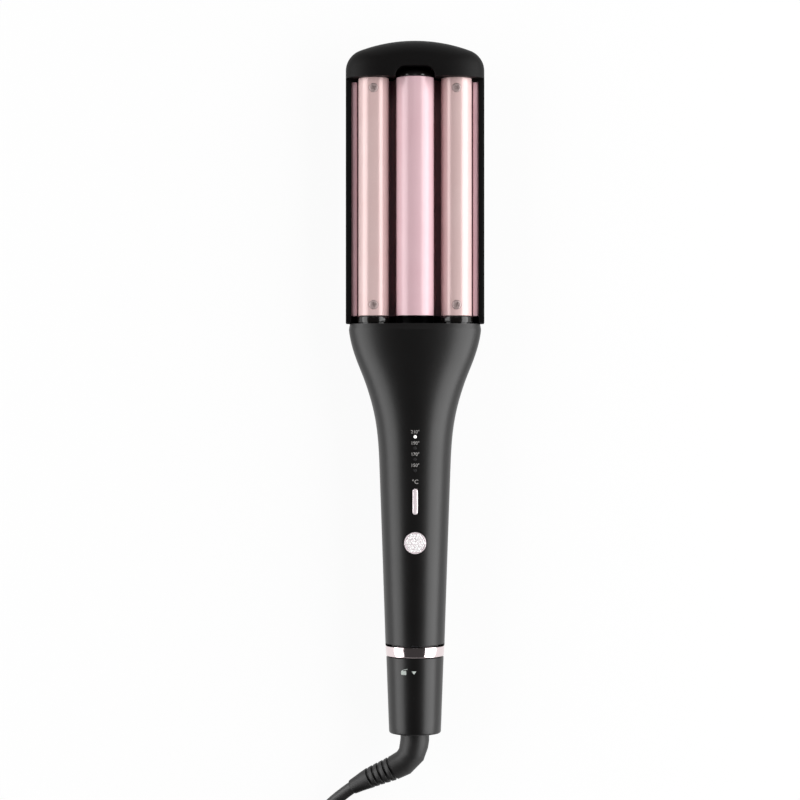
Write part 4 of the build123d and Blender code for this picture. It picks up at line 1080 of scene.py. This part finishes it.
for side in (-1, 1):
    well_foot = (plug_x, plug_y + side * pin_apart, plug_z)
    cut_away(plug, turn("pin_well", well_foot, (1, 0, 0), [(29, 2.45), (38, 2.45)], segments=32))
smooth(plug, 40)

# Moulded PVC: a soft shine over fine leather-like pitting, drawn at 0.4 mm.
moulded_pvc = new_material("moulded_pvc", "#1c1b1b", Roughness=0.42, IOR=1.53)
work_surface(moulded_pvc, 0.4, roughness=(0.36, 0.5), relief=(0.2, 0.05), detail=3.0)
fit(plug, moulded_pvc, "cord_swivel", "plug_black", "plug_body")

# Nickel plate on brass pins: bright, faintly scored along their length by sockets.
pin_nickel = new_material("nickel_plated_pin", "#cfcac2", Metallic=1.0, Roughness=0.2)
work_surface(pin_nickel, 0.4, roughness=(0.12, 0.34), stretch=(0.06, 1.0, 1.0))
dress(pin_nickel, "plug_pins")


# ---- Cord ----
# 1.8 m of round PVC mains cord, 6.5 mm across. It lies down on the table from the strain relief,
# is wound up in a neat coil beside it for storage, and ends in the plug.

cord_r, coil_x, coil_y = 3.25, -29.6, -266.2
outer_r, pitch = 42.25, 2 * cord_r
# Turns lie side by side: three inwards on the table, three outwards on those, and then on top.
# Each turn has how many cords it lies inside the outermost one, and how many it lies on.
coil_turns = [(0, 0), (1, 0), (2, 0), (2, 1), (1, 1), (0, 1), (0, 2), (0, 2)]
per_turn, first_angle, last_angle = 18, radians(136.3), radians(136.3 + 7 * 360 + 102)
step_from = 0.83  # the share of a turn after which the cord steps over to the next one
control_grow = 1.0075  # the smooth line runs inside its points
cord_points = [sleeve_end, (-38.6, -213.4, 6.4), (-46.4, -220.6, 4.6), (-54.6, -229.6, 3.6)]
angle = first_angle
while angle < last_angle:
    turns = (angle - first_angle) / (2 * pi)
    this = int(turns + 1e-6)
    following = min(this + 1, len(coil_turns) - 1)
    share = max(0.0, (turns - this - step_from) / (1 - step_from))
    ease = share * share * (3 - 2 * share)
    inside, layer = Vector(coil_turns[this]).lerp(Vector(coil_turns[following]), ease)
    radius = (outer_r - inside * pitch) * control_grow
    cord_points.append(
        (coil_x + radius * cos(angle), coil_y + radius * sin(angle), cord_r + layer * pitch)
    )
    angle += 2 * pi / per_turn
cord_points += [(-45.0, -305.6, 14.6), (-33.0, -314.0, 12.2), (-22.0, -319.0, 9.4)]
cord_points.append((plug_x, plug_y, plug_z))

flex = smooth_path(cord_points, 3)
flex.name = "mains_cord"
flex.data.bevel_depth = cord_r * mm
flex.data.bevel_resolution = 4
flex.data.use_fill_caps = True

# PVC cord sheath: half matt, with a faint drag from the die.
cord_pvc = new_material("extruded_pvc_sheath", "#1d1c1c", Roughness=0.45, IOR=1.53)
work_surface(cord_pvc, 2.5, roughness=(0.38, 0.55), relief=(0.1, 0.1), detail=4.0)
fit(flex, cord_pvc, "cord_swivel", "cord_rubber", "power_cord", "cord_coil", "plug_lead")


# ---- Table, lamps and camera ----
# A white sweep that curves up far away on all sides, a long softbox to the left and a stronger one
# to the right, a small dim one beyond the tip, and nothing but dark room overhead.

sweep_rings = [(3400, 0), (3800, 50), (4150, 200), (4400, 450), (4500, 800), (4500, 1600)]
radius, height = sweep_rings[0]
sweep = start_piece(
    "white_sweep", bpy.ops.mesh.primitive_circle_add, (0, 0, 0), vertices=96, radius=radius
)
for next_radius, next_height in sweep_rings[1:]:
    ratio = next_radius / radius
    pull_ring((0, 0, next_height - height), (0, 0, next_height), (ratio, ratio, 1))
    radius, height = next_radius, next_height
pick("edges", lambda p: p.z < 1)
bpy.ops.mesh.edge_face_add()
leave()
smooth(sweep, 60)

# Matt white paper; where it is looked at straight, or mirrored, most of it is plain white.
paper = new_material("white_paper", "#f2f2f2", Roughness=0.9)
rays = add_node(paper, "ShaderNodeLightPath", {}).node.outputs
either = {0: rays["Is Camera Ray"], 1: rays["Is Glossy Ray"]}
either = add_node(paper, "ShaderNodeMath", either, operation="MAXIMUM")
any_ray = {0: either, 1: rays["Is Transmission Ray"]}
any_ray = add_node(paper, "ShaderNodeMath", any_ray, operation="MAXIMUM")
share_white = add_node(paper, "ShaderNodeMath", {0: any_ray, 1: 0.93}, operation="MULTIPLY")
white = add_node(paper, "ShaderNodeEmission", {"Color": linear("#ffffff"), "Strength": 1.0})
lit = paper.node_tree.nodes["Principled BSDF"].outputs["BSDF"]
surface = paper.node_tree.nodes["Material Output"].inputs["Surface"]
add_node(paper, "ShaderNodeMixShader", {0: share_white, 1: lit, 2: white}, surface)
sweep.data.materials.append(paper)

lamps = [  # name, middle in metres, height up its own face, length and how bright its face is
    ("left_softbox", (-1.1, 0, 0.46), 0.88, 1.9, 3.7),
    ("right_softbox", (1.0, 0, 0.48), 0.98, 1.9, 4.7),
    ("tip_fill", (0, 0.8, 1.3), 0.4, 0.5, 1.0),
]
for name, middle, height, length, face in lamps:
    bpy.ops.object.light_add(type="AREA", location=middle)
    lamp = bpy.context.object
    lamp.name = name
    lamp.data.shape = "RECTANGLE"
    lamp.data.size, lamp.data.size_y = length, height
    lamp.data.energy = face * pi * length * height
    aim = Vector((0, 0, 0.02)) - lamp.location
    lamp.rotation_euler = aim.to_track_quat("-Z", "Y").to_euler()
    lamp.visible_camera = False

room = bpy.data.worlds.new("dim_room")
bpy.context.scene.world = room
room.use_nodes = True
walls = room.node_tree.nodes["Background"].inputs
walls["Color"].default_value = (1, 1, 1, 1)
walls["Strength"].default_value = 0.05

bpy.ops.object.camera_add(location=(-0.0078, -0.0065, 1.25), rotation=(0, 0, 0))
camera = bpy.context.object
camera.data.sensor_width = 36
camera.data.lens = 106.8
camera.data.clip_end = 12
bpy.context.scene.camera = camera
bpy.context.scene.view_settings.view_transform = "Standard"
